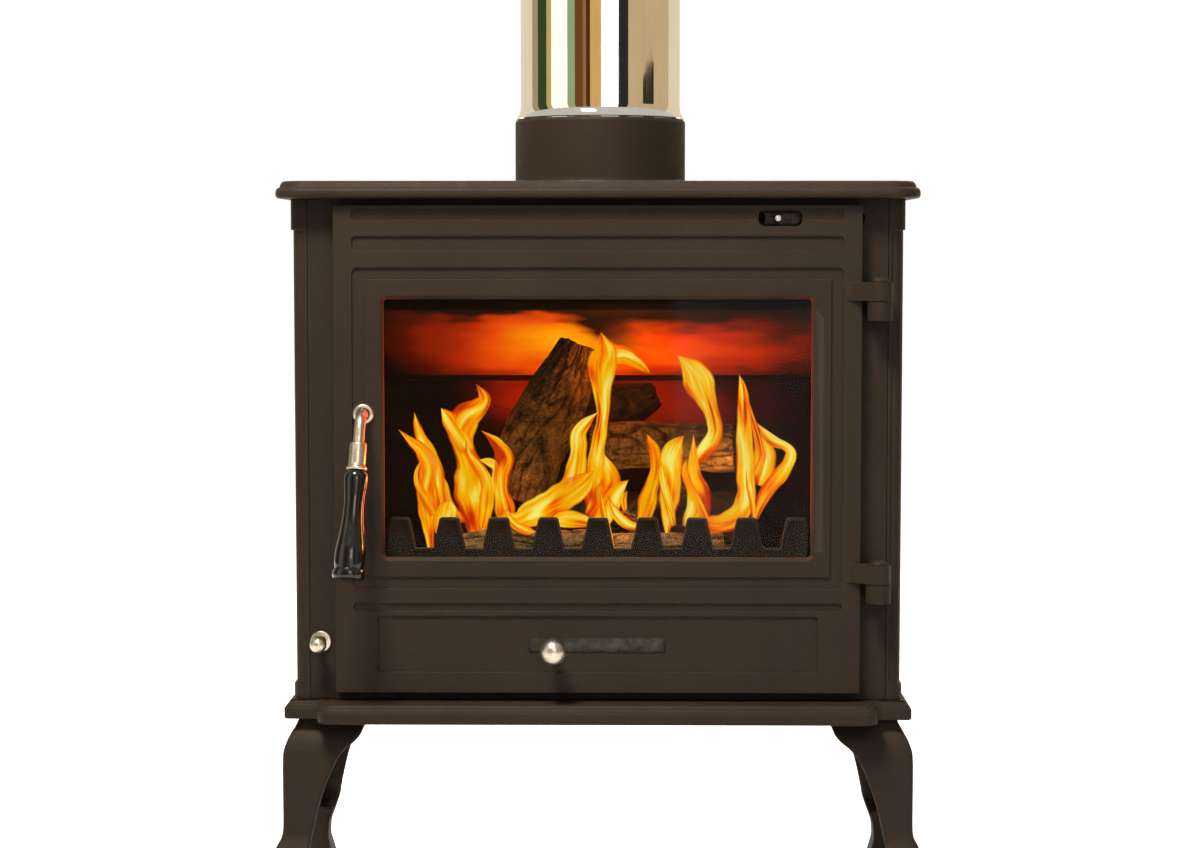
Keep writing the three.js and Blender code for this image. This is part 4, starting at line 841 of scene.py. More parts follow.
def blanking_plate():
    """The round plate that closes the rear outlet, with a raised rim and middle."""
    wide = size_of("rear_blanking_plate").x / 2
    back = [(0, 0), (wide, 0), (wide, 4.5), (wide - 1.5, 6), (46, 6), (43, 9), (0, 9)]
    spot = end_of("rear_blanking_plate", Y)
    lathe("rear_blanking_plate", rounded(back, 1.2), spot, BACKWARD, 128, name="blanking_fine")


blanking_plate()


def hinge_pin(node_name):
    """A hinge pin with a low domed head."""
    tall = size_of(node_name).z
    radius, head, rise, under_head = 5, 7.4, 4, tall - 4.6
    profile = [(0, 0), (radius, 0), (radius, under_head), (head, under_head)]
    angles = [math.radians(10 * i) for i in range(1, 9)]
    dome = [(head * math.cos(a), tall - rise + rise * math.sin(a)) for a in angles]
    lathe(node_name, [*profile, *dome, (0, tall)], end_of(node_name, Z), UP, 40)


hinge_pin("lower_hinge_pin")
hinge_pin("upper_hinge_pin")


def push_back(faces, distance):
    """Moves the faces' corners back by millimetres."""
    for v in {v for f in faces for v in f.verts}:
        v.co.y += distance * MM


def log_guard():
    """The guard's teeth and bar, each with a bevelled edge and a sunk field."""
    front_steps = ((1.0, 1.0), (1.8, 0.0), (0.7, -0.8))  # (inwards, forwards)
    back_steps = ((0.8, -0.8),)
    mesh = copy_of("log_guard")
    with editing(mesh) as shape:
        bmesh.ops.remove_doubles(shape, verts=shape.verts, dist=WELD)
        shape.normal_update()
        front = [f for f in shape.faces if f.normal.y < -0.99]
        back = [f for f in shape.faces if f.normal.y > 0.99]
        for faces, first, steps in ((front, 1.0, front_steps), (back, -0.8, back_steps)):
            push_back(faces, first)
            for inward, forward in steps:
                bmesh.ops.inset_region(
                    shape, faces=faces, thickness=inward * MM, depth=0, use_even_offset=True
                )
                push_back(faces, -forward)
    smooth_faces(mesh, 20)
    finished(piece_from("log_guard_fine", mesh, ROUGH_IRON), "log_guard")


log_guard()

# ---------------------------------------------------------------- flue


def flue():
    """The collar, rounded at its foot and lip, and the pipe with its swaged skirt."""
    inner, outer, tall = 75.6, 80.2, size_of("flue_collar").z
    ring = [(inner, 0), (outer + 3, 0), (outer + 3, 1.1), (outer + 1.6, 1.8), (outer + 0.5, 3.4)]
    ring += [(outer, 6), (outer, tall - 2.6), (outer - 0.9, tall - 0.6), (outer - 2.2, tall)]
    ring += [(inner, tall)]
    lathe("flue_collar", rounded_ring(ring, 1.0), end_of("flue_collar", Z), UP, 160, name="collar_fine")

    outside, wall, skirt, tall = 75, 1.6, 44.3, size_of("flue_pipe").z
    lip = [(outer - 1.6, skirt), (outer - 1.0, skirt + 1.0), (77.9, skirt + 2.6)]
    lip += [(76.6, skirt + 4.8), (75.7, skirt + 7.2), (75.2, skirt + 9.6), (outside, skirt + 12)]
    tube = [(outside - wall, 0), (outside, 0), (outside, skirt), *lip]
    tube += [(outside, tall - 0.4), (outside - 0.5, tall), (outside - wall, tall)]
    lathe("flue_pipe", [*tube, tube[0]], end_of("flue_pipe", Z), UP, 192)


flue()

# ---------------------------------------------------------------- knobs, handle and seals


def ball(radius, count):
    """A ball from its front on, in steps of 6 degrees, as a profile for turning."""
    angles = [math.radians(6 * i) for i in range(count)]
    return [(radius * math.sin(a), -radius * math.cos(a)) for a in angles]


def ball_centre(node_name, radius):
    """The middle of the ball at a node's front end."""
    return end_of(node_name, Y) + Vector((0, radius * MM, 0))


def air_knob(radius=11.7, neck=4, collar=6, reach=11.6):
    """A ball on a turned collar and neck; the collar stands reach behind the ball's middle."""
    name = "primary_air_knob"
    long = size_of(name).y - radius
    face = [(out, back) for out, back in ball(radius, 28) if back < reach - 1.2]
    rear = [(collar, reach - 1.0), (collar + 0.4, reach), (collar, reach + 1.6), (neck, reach + 2)]
    profile = [*face, *rear, (neck, long), (0, long)]
    lathe(name, profile, ball_centre(name, radius), BACKWARD, 64, 30)


def riddle_knob():
    """The riddle's ball with the end of its neck, and the bush that its rod runs in."""
    radius, neck = size_of("riddle_knob").x / 2, 4.3
    profile = [*ball(radius, 25), (neck, radius - 0.9), (neck, 0), (0, 0)]
    lathe("riddle_knob", profile, ball_centre("riddle_knob", radius), BACKWARD, 48, 30)
    ring = [(4.6, 0), (9.2, 0), (9.6, 0.8), (9.0, 2.2), (6.4, 2.7), (4.6, 3.0)]
    lathe("riddle_bush", rounded_ring(ring, 0.5), end_of("riddle_bush", Y, True), FORWARD)


air_knob()
riddle_knob()

# The handle turns about this point on the door's face.
FLANGE = middle_of("handle_flange")
HANDLE = at(FLANGE.x / MM, 0, FLANGE.z / MM)
KNEE = Vector((0, -38, 0))  # corner of the rod's bend, from the handle's axis
GRIP_END = Vector((-7.4, -75, -138))
GRIP_AXIS = (GRIP_END - KNEE).normalized()
GRIP_START = KNEE + GRIP_AXIS * 24
FERRULE = 24
GRIP_LENGTH = (GRIP_END - GRIP_START).length - FERRULE - 0.3


def door_handle():
    """The bent rod, its ferrule, the turned grip and the flange on the door."""
    radius, bend, inside_cup = 4.7 * MM, 14, 7.7
    inner = Vector((0, (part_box("handle_rod")[1].y - HANDLE.y) / MM, 0))
    start, end = KNEE + Vector((0, bend, 0)), KNEE + GRIP_AXIS * bend
    steps = [i / 14 for i in range(15)]
    elbow = [start * (1 - t) ** 2 + KNEE * 2 * t * (1 - t) + end * t * t for t in steps]
    line = [inner, inner + Vector((0, -0.4, 0)), *elbow, GRIP_START + GRIP_AXIS * inside_cup]
    radii = [radius * 0.9] + [radius] * (len(line) - 1)
    rod = sweep("handle_rod_fine", [HANDLE + p * MM for p in line], radii, MATERIALS["satin_steel"])
    finished(rod, "handle_rod")

    cup = [(0, 8.3), (5.0, 8.3), (5.0, 0), (6.6, 0), (7.3, 1.2), (7.3, FERRULE - 5.4)]
    cup += [(7.7, FERRULE - 3.4), (8.9, FERRULE - 2.6), (9.1, FERRULE - 1.4)]
    cup += [(8.7, FERRULE), (0, FERRULE)]
    lathe("handle_ferrule", rounded(cup, 0.7), HANDLE + GRIP_START * MM, GRIP_AXIS)

    stretch = GRIP_LENGTH / 94.7
    swell = [(7.6, 0.6), (9.6, 3.0), (10.4, 7), (10.1, 12), (9.0, 22), (8.8, 33), (9.6, 45)]
    swell += [(11.2, 57), (12.9, 67), (13.5, 75), (13.3, 81), (12.5, 85)]
    body = [(p.x, p.y * stretch) for p in curve_through(swell, 5)]
    foot = [(12.4, GRIP_LENGTH - 9), (13.6, GRIP_LENGTH - 8.2), (14.2, GRIP_LENGTH - 6)]
    foot += [(14.1, GRIP_LENGTH - 2.4), (13.2, GRIP_LENGTH - 0.6), (11.5, GRIP_LENGTH - 0.1)]
    grip = [(0, 0), (7.0, 0), *body, *foot, (0, GRIP_LENGTH)]
    start = HANDLE + (GRIP_START + GRIP_AXIS * (FERRULE + 0.3)) * MM
    lathe("handle_grip", grip, start, GRIP_AXIS)

    ring = [(5.2, 0), (9.2, 0), (9.4, 1.6), (8.4, 3.4), (6.6, 4.1), (5.2, 3.2)]
    lathe("handle_flange", rounded_ring(ring, 0.8), end_of("handle_flange", Y, True), FORWARD)


door_handle()


def rope_loop(node_name, radius, bend, twist, depth):
    """A twisted rope along the rounded rectangle that its CAD node fills."""
    middle, size = middle_of(node_name), size_of(node_name)
    half_x, half_z = size.x / 2 - radius, size.z / 2 - radius
    steps, apart, sides = 10, 3.2, 18
    corners = rounded_box(-half_x, -half_z, half_x, half_z, bend, steps)
    corners = corners[steps + 1 :] + corners[: steps + 1]  # from the upper right on
    line = []
    for i, corner in enumerate(corners):
        start, end = Vector(corner), Vector(corners[(i + 1) % len(corners)])
        parts = max(1, round((end - start).length / apart))
        line += [start.lerp(end, s / parts) for s in range(parts)]
    points = []
    run = 0.0
    for i, spot in enumerate(line):
        after = line[(i + 1) % len(line)]
        along = (after - line[i - 1]).normalized()
        run += (after - spot).length
        for k in range(sides):
            a = TAU * k / sides
            r = radius - depth * (0.5 + 0.5 * math.cos(3 * (a + run / twist)))
            out = spot + Vector((along.y, -along.x)) * r * math.cos(a)
            points.append(middle + Vector((out.x, r * math.sin(a), out.y)) * MM)
    faces = [(a, d, c, b) for a, b, c, d in bands(len(line), sides, loop=True)]
    mesh = mesh_of(node_name + "_fine", points, faces)
    smooth_faces(mesh, 80)
    finished(piece_from(node_name + "_fine", mesh, MATERIALS["seal_fibre"]), node_name)


rope_loop("door_rope_seal", 4, 12, 5.5, 0.5)
softened("glass_gasket", 0.5)

# ---------------------------------------------------------------- logs, embers and flames

FIRE_BODY = "stove_body"


def with_attributes(mesh, **values):
    """Stores a number or a vector for each vertex, for the materials to read."""
    for name, numbers in values.items():
        if isinstance(numbers[0], float):
            mesh.attributes.new(name, "FLOAT", "POINT").data.foreach_set("value", numbers)
        else:
            flat = [part for vector in numbers for part in vector]
            mesh.attributes.new(name, "FLOAT_VECTOR", "POINT").data.foreach_set("vector", flat)


def burning_wood(name, dark, light, smoulder):
    """Bark with painted shade that darkens its cracks, its plates left at full colour, and red where it
    has charred.
    """
    material, tree, shader = new_material(name, Specular_IOR_Level=0.15, Emission_Strength=1.0)
    fibres = grain(tree, 60, 5, 0.7)
    specks = spread(tree, grain(tree, 420, 3, 0.7), 0.35, 0.7, 0.45, 1.35)
    tone = ramp(tree, fibres, [(0.34, dark), (0.64, light)])
    # painted shade: the bark's colour is darkened in its cracks, by the plate attribute
    shade = ramp(tree, attribute(tree, "plate"), [(0.0, (0.08,) * 3), (0.85, (1.0,) * 3)])
    tone = blend(tree, "MULTIPLY", blend(tree, "MULTIPLY", tone, shade), specks)
    reds = [(0.0, BLACK), (0.55, (0.02, 0.002, 0.0)), (1.0, smoulder)]
    red = ramp(tree, attribute(tree, "char"), reds)
    patches = ramp(tree, grain(tree, 75, 4, 0.6), [(0.36, (0.25,) * 3), (0.62, (1.0,) * 3)])
    glow = blend(tree, "MULTIPLY", red, patches)
    rough = spread(tree, specks, 0.4, 1.3, 0.95, 0.7)
    skin = bump(tree, grain(tree, 300, 4, 0.7), 0.0012, 0.9)
    feed(tree, shader, Base_Color=tone, Roughness=rough, Normal=skin, Emission_Color=glow)
    return material


def sawn_wood():
    """The end of a log: pale rings, cracked and toasted by the fire."""
    material, tree, shader = new_material("sawn_wood", Specular_IOR_Level=0.15, Roughness=0.9)
    inputs = {"Vector": coordinates(tree), "Scale": 85, "Distortion": 5.0, "Detail": 3.0}
    waves = node(tree, "ShaderNodeTexWave", inputs, wave_type="RINGS", rings_direction="X")
    rings = waves.outputs["Fac"]
    tone = ramp(tree, rings, [(0.2, (0.10, 0.055, 0.020)), (0.8, (0.26, 0.17, 0.07))])
    toast = spread(tree, grain(tree, 110, 4, 0.65), 0.35, 0.65, 0.35, 1.2)
    skin = bump(tree, rings, 0.0006, 0.6)
    feed(tree, shader, Base_Color=blend(tree, "MULTIPLY", tone, toast), Normal=skin)
    return material


SAWN_WOOD = sawn_wood()


def log(name, start, end, radius, material, squash=1.0, crack=2.6, bent=5.0, char=0.0, taper=0.0):
    """A log between two points of the firebox, its sizes in millimetres. Its bark stands in
    plates between cracks of that depth that run along it. Squash is how flat it is, bent how
    far it sways, char how far from its start it has burnt, and taper how far before its end it
    starts to narrow."""
    start, end = in_fire(*start), in_fire(*end)
    along = (end - start).normalized()
    side = along.orthogonal().normalized()
    other = along.cross(side)
    length = (end - start).length / MM
    seed = float(sum(map(ord, name)) % 97)
    sides, rings, cap = 112, max(12, round(length / 1.6)), 7
    points, plates, chars = [], [], []

    def ring(run, shrink, push):
        t = run / length
        sway = side * noise.noise((t * 1.7, seed, 0)) + other * noise.noise((t * 1.7, 0, seed))
        middle = start + along * ((run + push) * MM) + sway * bent * MM
        left = max(0.0, 1 - (length - run) / taper) if taper else 0.0
        narrow = 1 - 0.42 * left**1.6
        for k in range(sides):
            a = TAU * k / sides
            c, s = math.cos(a), math.sin(a)
            shape = 1 + 0.16 * noise.noise((c * 0.9 + seed, s * 0.9, run / 70))
            shape += 0.05 * noise.noise((c * 3, s * 3 + seed, run / 22))
            spot = Vector((c * radius / 9, s * radius / 9, run / 34 + seed))
            ridge = min(1.0, abs(noise.noise(spot)) / 0.16)
            spot = Vector((c * radius / 4, s * radius / 4, run / 13 + seed))
            ridge *= 0.55 + 0.45 * min(1.0, abs(noise.noise(spot)) / 0.14)
            fine = noise.noise((c * radius / 1.8, s * radius / 1.8, run / 3.5 + seed))
            r = radius * shape - crack * (1 - ridge) + 0.35 * fine
            ragged = 3.0 * noise.noise((c * 2.1, s * 2.1, seed)) if char else 0.8 * fine
            outward = (side * c + other * s * squash) * (r * shrink * narrow * MM)
            points.append(middle + outward + along * (ragged * shrink * MM))
            plates.append(ridge if shrink == 1 else 0.8)
            burnt = 1 - (run + 9 * noise.noise((c * 2, s * 2, seed))) / char if char else 0.0
            chars.append(min(1.0, max(0.0, burnt)))

    for i in range(cap):
        ring(0, (i + 0.4) / cap, -1.2)
    for i in range(rings + 1):
        ring(length * i / rings, 1, 0)
    for i in reversed(range(cap)):
        ring(length, (i + 0.4) / cap, 1.2)
    mesh = mesh_of(name, points, capped(len(points) // sides, sides))
    with_attributes(mesh, plate=plates, char=chars)
    smooth_faces(mesh, 60)
    piece = piece_from(name, mesh, material)
    if not char:
        mesh.materials.append(SAWN_WOOD)
        ends = cap * sides
        for face in mesh.polygons:
            if face.index <= ends or face.index >= len(mesh.polygons) - ends - 1:
                face.material_index = 1
    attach(piece, FIRE_BODY)


def logs():
    """The leaning log, the two that lie behind it, and the ones half hidden under the flames."""
    # bark_lit is a lighter copy of the bark: painted firelight on the leaning log
    lit = burning_wood("bark_lit", (0.026, 0.014, 0.003), (0.20, 0.112, 0.018), (0.10, 0.008, 0.001))
    dark = burning_wood("bark_dark", (0.010, 0.006, 0.002), (0.06, 0.030, 0.009), (0.2, 0.01, 0.001))
    pale = burning_wood("bark_pale", (0.045, 0.027, 0.008), (0.24, 0.155, 0.045), (0.1, 0.01, 0.001))
    leaning = {"squash": 0.8, "crack": 4.6, "bent": 12, "char": 38, "taper": 62}
    behind = {"squash": 0.8, "crack": 3.0, "bent": 5, "char": 20, "taper": 34}
    log("leaning_log", (-78, 122, 66), (-22, 138, 208), 34, lit, **leaning)
    log("dark_log", (-40, 172, 126), (52, 176, 160), 23, dark, **behind)
    log("pale_log", (-6, 132, 112), (124, 118, 116), 23, pale, 0.9, 2.4)
    log("base_log_left", (-126, 66, 27), (-8, 62, 31), 13, pale, 0.9, 1.8)
    log("base_log_right", (-4, 60, 27), (112, 68, 30), 13, pale, 0.9, 1.8)
    log("back_log", (-130, 150, 38), (132, 158, 44), 27, dark, 0.9, 3.0)
    log("cross_log", (30, 96, 46), (84, 140, 78), 15, dark, 0.9, 2.2)


def ember_bed():
    """A bed of ash over the grate, with glowing patches in it."""
    material, tree, shader = new_material(
        "ash_and_embers", Roughness=0.95, Specular_IOR_Level=0.1, Emission_Strength=1.0
    )
    ash = [(0.35, (0.010, 0.007, 0.005)), (0.65, (0.11, 0.085, 0.065))]
    tone = ramp(tree, grain(tree, 130, 5, 0.7), ash)
    fire = [(0.50, BLACK), (0.60, (0.7, 0.05, 0.004)), (0.72, (1, 0.3, 0.02))]
    patches = ramp(tree, grain(tree, 34, 3, 0.55), fire)
    specks = ramp(tree, grain(tree, 210, 3, 0.6), [(0.4, (0.15,) * 3), (0.6, (1.0,) * 3)])
    heat = blend(tree, "MULTIPLY", patches, specks)
    skin = bump(tree, grain(tree, 260, 4, 0.7), 0.002, 0.9)
    feed(tree, shader, Base_Color=tone, Emission_Color=heat, Normal=skin)
    across, deep = 150, 80
    x0, x1, y0, y1 = -176, 176, 36, 226
    under, least = 0.4, 1.2  # the bed's underside and its thinnest, above the grate
    points = []
    for layer in (0, 1):
        for j in range(deep + 1):
            for i in range(across + 1):
                u, v = i / across, j / deep
                x, y = x0 + (x1 - x0) * u, y0 + (y1 - y0) * v
                slope = min(1.0, 7 * min(u, 1 - u), 5 * min(v, 1 - v)) ** 0.5
                heap = 11 + 9 * noise.noise((x / 34, y / 34, 3)) + 4 * noise.noise((x / 9, y / 9, 5))
                points.append(in_fire(x, y, least + max(0.0, heap) * slope if layer else under))
    row, sheet = across + 1, (across + 1) * (deep + 1)
    faces = []
    for j in range(deep):
        for i in range(across):
            a = j * row + i
            faces.append((a, a + row, a + row + 1, a + 1))
            faces.append((a + sheet, a + 1 + sheet, a + row + 1 + sheet, a + row + sheet))
    rim = [*range(row), *range(2 * row - 1, sheet, row)]
    rim += [*range(sheet - 2, sheet - row - 1, -1), *range(sheet - 2 * row, 0, -row)]
    for here, after in zip(rim, rim[1:] + rim[:1]):
        faces.append((here, after, after + sheet, here + sheet))
    mesh = mesh_of("ember_bed", points, faces)
    smooth_faces(mesh, 60)
    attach(piece_from("ember_bed", mesh, material), FIRE_BODY)


def coals():
    """Broken coals, each with its own heat: black, dull red or orange."""
    material, tree, shader = new_material(
        "coals", Roughness=0.9, Specular_IOR_Level=0.2, Emission_Strength=1.0
    )
    cold = [(0.35, (0.006, 0.004, 0.003)), (0.68, (0.10, 0.075, 0.055))]
    tone = ramp(tree, grain(tree, 160, 4, 0.7), cold)
    patches = spread(tree, grain(tree, 150, 3), 0.35, 0.6, 0.3, 1.1)
    heat_and_painted_firelight = maths(tree, "MULTIPLY", attribute(tree, "heat"), patches)
    fire = [(0.35, BLACK), (0.55, (0.35, 0.012, 0.002)), (0.8, (1, 0.16, 0.01)), (1.0, (1, 0.5, 0.05))]
    skin = bump(tree, grain(tree, 300, 4), 0.001, 0.8)
    feed(tree, shader, Base_Color=tone, Emission_Color=ramp(tree, heat_and_painted_firelight, fire), Normal=skin)
    random.seed(11)
    shape = bmesh.new()
    heats = []
    for _ in range(70):
        size = random.uniform(5, 11)
        x, y = random.uniform(-160, 160), random.uniform(44, 205)
        heat = random.random() ** 1.6
        seed = random.uniform(0, 90)
        made = bmesh.ops.create_icosphere(shape, subdivisions=3, radius=size * MM)["verts"]
        flat = Vector((random.uniform(0.8, 1.3), random.uniform(0.8, 1.2), random.uniform(0.55, 0.85)))
        for v in made:
            way = v.co.normalized()
            lump = noise.cell((way.x * 1.3 + seed, way.y * 1.3, way.z * 1.3)) * 0.16
            lump += noise.noise(way * 2.2 + Vector((seed, 0, 0))) * 0.4
            v.co = v.co * (0.9 + lump) * flat + in_fire(x, y, 12 + size * 0.3)
        heats += [heat] * len(made)
    mesh = bpy.data.meshes.new("coals")
    shape.to_mesh(mesh)
    shape.free()
    with_attributes(mesh, heat=heats)
    smooth_faces(mesh, 30)
    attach(piece_from("coals", mesh, material), FIRE_BODY)


def flame_light():
    """Burning gas: orange at a flame's edges and tip, yellow in the streaks of its core."""
    material, tree, shader = new_material(
        "flame",
        Base_Color=rgba(BLACK),
        Roughness=1.0,
        Specular_IOR_Level=0.0,
        Emission_Strength=1.05,
    )
    flow = node(tree, "ShaderNodeAttribute", attribute_name="flow").outputs["Vector"]

    def streaks(stretch, detail):
        place = node(tree, "ShaderNodeMapping", {"Vector": flow, "Scale": stretch}).outputs["Vector"]
        inputs = {"Vector": place, "Scale": 1.0, "Detail": detail, "Distortion": 0.6}
        return node(tree, "ShaderNodeTexNoise", inputs).outputs["Fac"]

    wide = streaks((0.8, 0.018, 1), 1.0)
    thin = streaks((2.4, 0.02, 1), 2.0)
    core = attribute(tree, "core")
    thin = maths(tree, "MULTIPLY", thin, 0.45)
    wide = maths(tree, "MULTIPLY", wide, 0.55)
    middle = maths(tree, "MULTIPLY", core, 0.09)
    warmth = maths(tree, "ADD", maths(tree, "ADD", thin, wide), middle)
    fire = [
        (0.42, (0.75, 0.035, 0.0)),
        (0.49, (1.0, 0.15, 0.0)),
        (0.55, (1.0, 0.33, 0.0)),
        (0.62, (1.0, 0.53, 0.001)),
        (0.73, (1.0, 0.88, 0.16)),
    ]
    tone = ramp(tree, warmth, fire)
    edge = spread(tree, core, 0.02, 0.34, 0.0, 1.0)
    body = spread(tree, warmth, 0.42, 0.54, 0.45, 0.96)
    feed(tree, shader, Emission_Color=tone, Alpha=maths(tree, "MULTIPLY", edge, body))
    return material


# Each flame: how far back it burns, then (x, height above the grate, half its width) going up.
FLAMES = [
    (66, [(-152, 20, 2), (-154, 45, 6), (-155, 62, 9), (-157, 78, 8), (-154, 100, 9), (-160, 115, 7),
          (-170, 124, 4), (-181, 134, 0)]),
    (70, [(-143, 60, 5), (-147, 92, 7), (-153, 110, 7), (-161, 126, 5), (-165, 138, 3),
          (-167, 149, 0)]),
    (62, [(-150, 56, 4), (-161, 80, 4), (-164, 94, 3), (-160, 107, 0)]),
    (76, [(-128, 46, 8), (-138, 66, 6), (-143, 84, 5), (-147, 100, 0)]),
    (56, [(-143, 36, 3), (-141, 47, 9), (-138, 57, 10), (-136, 66, 7), (-135, 70, 0)]),
    (88, [(-110, 30, 6), (-112, 52, 15), (-116, 76, 18), (-119, 100, 12), (-124, 116, 10),
          (-126, 131, 13), (-121, 144, 14), (-110, 153, 9), (-105, 162, 6), (-112, 174, 0)]),
    (86, [(-120, 112, 8), (-129, 130, 9), (-137, 143, 7), (-144, 152, 0)]),
    (72, [(-106, 44, 4), (-102, 66, 7), (-102, 86, 6), (-110, 100, 6), (-118, 112, 4), (-120, 124, 0)]),
    (72, [(-86, 62, 5), (-93, 84, 4), (-93, 98, 4), (-99, 104, 4), (-109, 106, 0)]),
    (66, [(-84, 42, 5), (-85, 62, 9), (-88, 78, 7), (-88, 93, 8), (-85, 108, 9), (-91, 120, 6),
          (-98, 127, 3), (-106, 133, 0)]),
    (64, [(-88, 56, 3), (-74, 52, 8), (-62, 57, 12), (-45, 66, 13), (-28, 76, 13), (-14, 86, 11),
          (-4, 97, 0)]),
    (52, [(-84, 62, 3), (-76, 50, 4), (-64, 44, 4), (-56, 43, 0)]),
    (52, [(-46, 51, 2), (-35, 54, 7), (-24, 54, 8), (-12, 52, 6), (-3, 49, 0)]),
    (72, [(0, 36, 4), (-2, 60, 9), (-3, 80, 12), (-2, 100, 9), (-1, 116, 7), (4, 147, 6), (3, 170, 9),
          (3, 190, 14), (6, 204, 12), (4, 213, 6), (2, 222, 0)]),
    (68, [(-34, 64, 6), (-26, 80, 10), (-20, 100, 9), (-18, 116, 8), (-18, 130, 8), (-11, 140, 5),
          (0, 150, 0)]),
    (64, [(-6, 54, 8), (4, 72, 11), (11, 88, 10), (8, 102, 5), (5, 112, 0)]),
    (60, [(4, 48, 5), (11, 66, 9), (18, 80, 7), (27, 89, 0)]),
    (74, [(8, 196, 8), (21, 199, 8), (32, 195, 6), (40, 190, 4), (47, 184, 0)]),
    (46, [(14, 26, 1), (10, 42, 2.5), (5, 60, 3), (2, 80, 0)]),
    (54, [(38, 46, 3), (26, 50, 5), (15, 60, 5), (8, 76, 0)]),
    (50, [(24, 62, 2), (23, 72, 3), (26, 80, 0)]),
    (70, [(39, 44, 5), (43, 60, 8), (46, 76, 8), (51, 92, 6), (52, 105, 5), (50, 116, 5), (46, 124, 3),
          (44, 130, 0)]),
    (62, [(62, 38, 1), (63, 52, 6), (64, 70, 9), (65, 85, 10), (65, 101, 11), (67, 114, 10),
          (71, 122, 6), (77, 129, 0)]),
    (54, [(68, 48, 3), (64, 66, 4), (60, 82, 4), (57, 96, 3), (57, 106, 0)]),
    (68, [(82, 44, 8), (90, 60, 12), (91, 74, 11), (88, 88, 8), (86, 102, 5), (86, 116, 3),
          (86, 130, 0)]),
    (60, [(98, 52, 3), (90, 68, 4), (82, 84, 4), (78, 98, 3), (80, 108, 0)]),
    (78, [(84, 100, 3), (95, 112, 8), (103, 122, 8), (106, 133, 7), (103, 147, 7), (97, 162, 10),
          (91, 176, 14), (86, 186, 12), (80, 193, 7), (71, 201, 0)]),
    (66, [(84, 52, 5), (103, 48, 9), (118, 51, 10), (129, 60, 10), (134, 75, 9), (133, 92, 9),
          (133, 108, 9), (132, 124, 8), (132, 142, 7), (131, 158, 6), (130, 172, 4), (127, 184, 0)]),
    (58, [(140, 50, 2), (139, 66, 3), (136, 84, 3), (133, 98, 0)]),
    (74, [(140, 92, 7), (146, 108, 6), (145, 122, 4), (142, 134, 3), (138, 148, 2), (136, 160, 0)]),
    (70, [(142, 50, 1), (147, 66, 5), (154, 80, 7), (164, 92, 7), (172, 104, 6), (174, 113, 5),
          (169, 119, 4), (159, 123, 5), (151, 130, 4), (143, 140, 0)]),
    (82, [(146, 82, 4), (151, 96, 9), (153, 108, 9), (151, 119, 6), (147, 130, 0)]),
]


def flames():
    """Each flame is a closed tube, lens-shaped across, along its course."""
    points, faces, flow, core = [], [], [], []
    sides, steps = 24, 7
    for number, (back, course) in enumerate(FLAMES):
        line = curve_through(course, steps)
        rings = len(line)
        faces += capped(rings, sides, len(points))
        run = 0.0
        for i, spot in enumerate(line):
            before, after = line[max(i - 1, 0)], line[min(i + 1, rings - 1)]
            along = Vector((after.x - before.x, after.y - before.y)).normalized()
            across = Vector((along.y, -along.x))
            run += math.hypot(spot.x - before.x, spot.y - before.y)
            frill = 1 + 0.16 * noise.noise((run / 11, number * 3.7, 0))
            half = max(0.25, spot.z * frill)
            deep = max(0.2, min(half * 0.4, 4.0))
            swing = 4 * noise.noise((run / 45, number * 5.1, 2))
            tip, root = (rings - 1 - i) / rings, i / rings
            fade = min(1.0, 0.3 + tip / 0.2) * min(1.0, 0.15 + root / 0.16)
            for k in range(sides):
                a = TAU * k / sides
                u = math.cos(a)
                x, up = spot.x + across.x * half * u, spot.y + across.y * half * u
                points.append(in_fire(x, back + swing + deep * math.sin(a), up))
                flow.append((u, run, number * 9.3))
                core.append((1 - u * u) * fade)
    mesh = mesh_of("flames", points, faces)
    with_attributes(mesh, flow=flow, core=core)
    with editing(mesh) as shape:
        bmesh.ops.recalc_face_normals(shape, faces=shape.faces)
    smooth_faces(mesh, 60)
    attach(piece_from("flames", mesh, flame_light()), FIRE_BODY)


def lamp(name, kind, spot, power, color, aim=None, **settings):
    """A light at a spot, facing along aim if that is given."""
    light = bpy.data.lights.new(name, kind)
    light.energy = power
    light.color = color
    for key, value in settings.items():
        setattr(light, key, value)
    made = placed(name, light)
    made.location = spot
    if aim is not None:
        made.rotation_euler = aim.to_track_quat("-Z", "Y").to_euler()
    return made


def fire_lights():
    """What the flames throw on the logs, the liners and the edges of the doorway."""
    yellow, red, rim = (1.0, 0.42, 0.10), (1.0, 0.25, 0.04), (1.0, 0.04, 0.02)
    glows = (
        (in_fire(-95, 62, 96), 0.55, yellow),
        (in_fire(10, 58, 70), 0.5, (1.0, 0.45, 0.12)),
        (in_fire(105, 60, 96), 0.5, yellow),
        (in_fire(20, 100, 196), 0.25, red),
    )
    for i, (spot, power, color) in enumerate(glows):
        lamp(f"fire_{i}", "POINT", spot, power, color, shadow_soft_size=0.02)
    strip = {"shape": "RECTANGLE", "size": 0.004, "size_y": 0.2}
    for way in (-1, 1):
        aim = Vector((way, -0.5, 0))
        lamp(f"edge_{way}", "AREA", in_fire(way * 172, 2, 150), 0.16, rim, aim, **strip)


logs()
ember_bed()
coals()
flames()
fire_lights()

# ---------------------------------------------------------------- stage, lights and camera


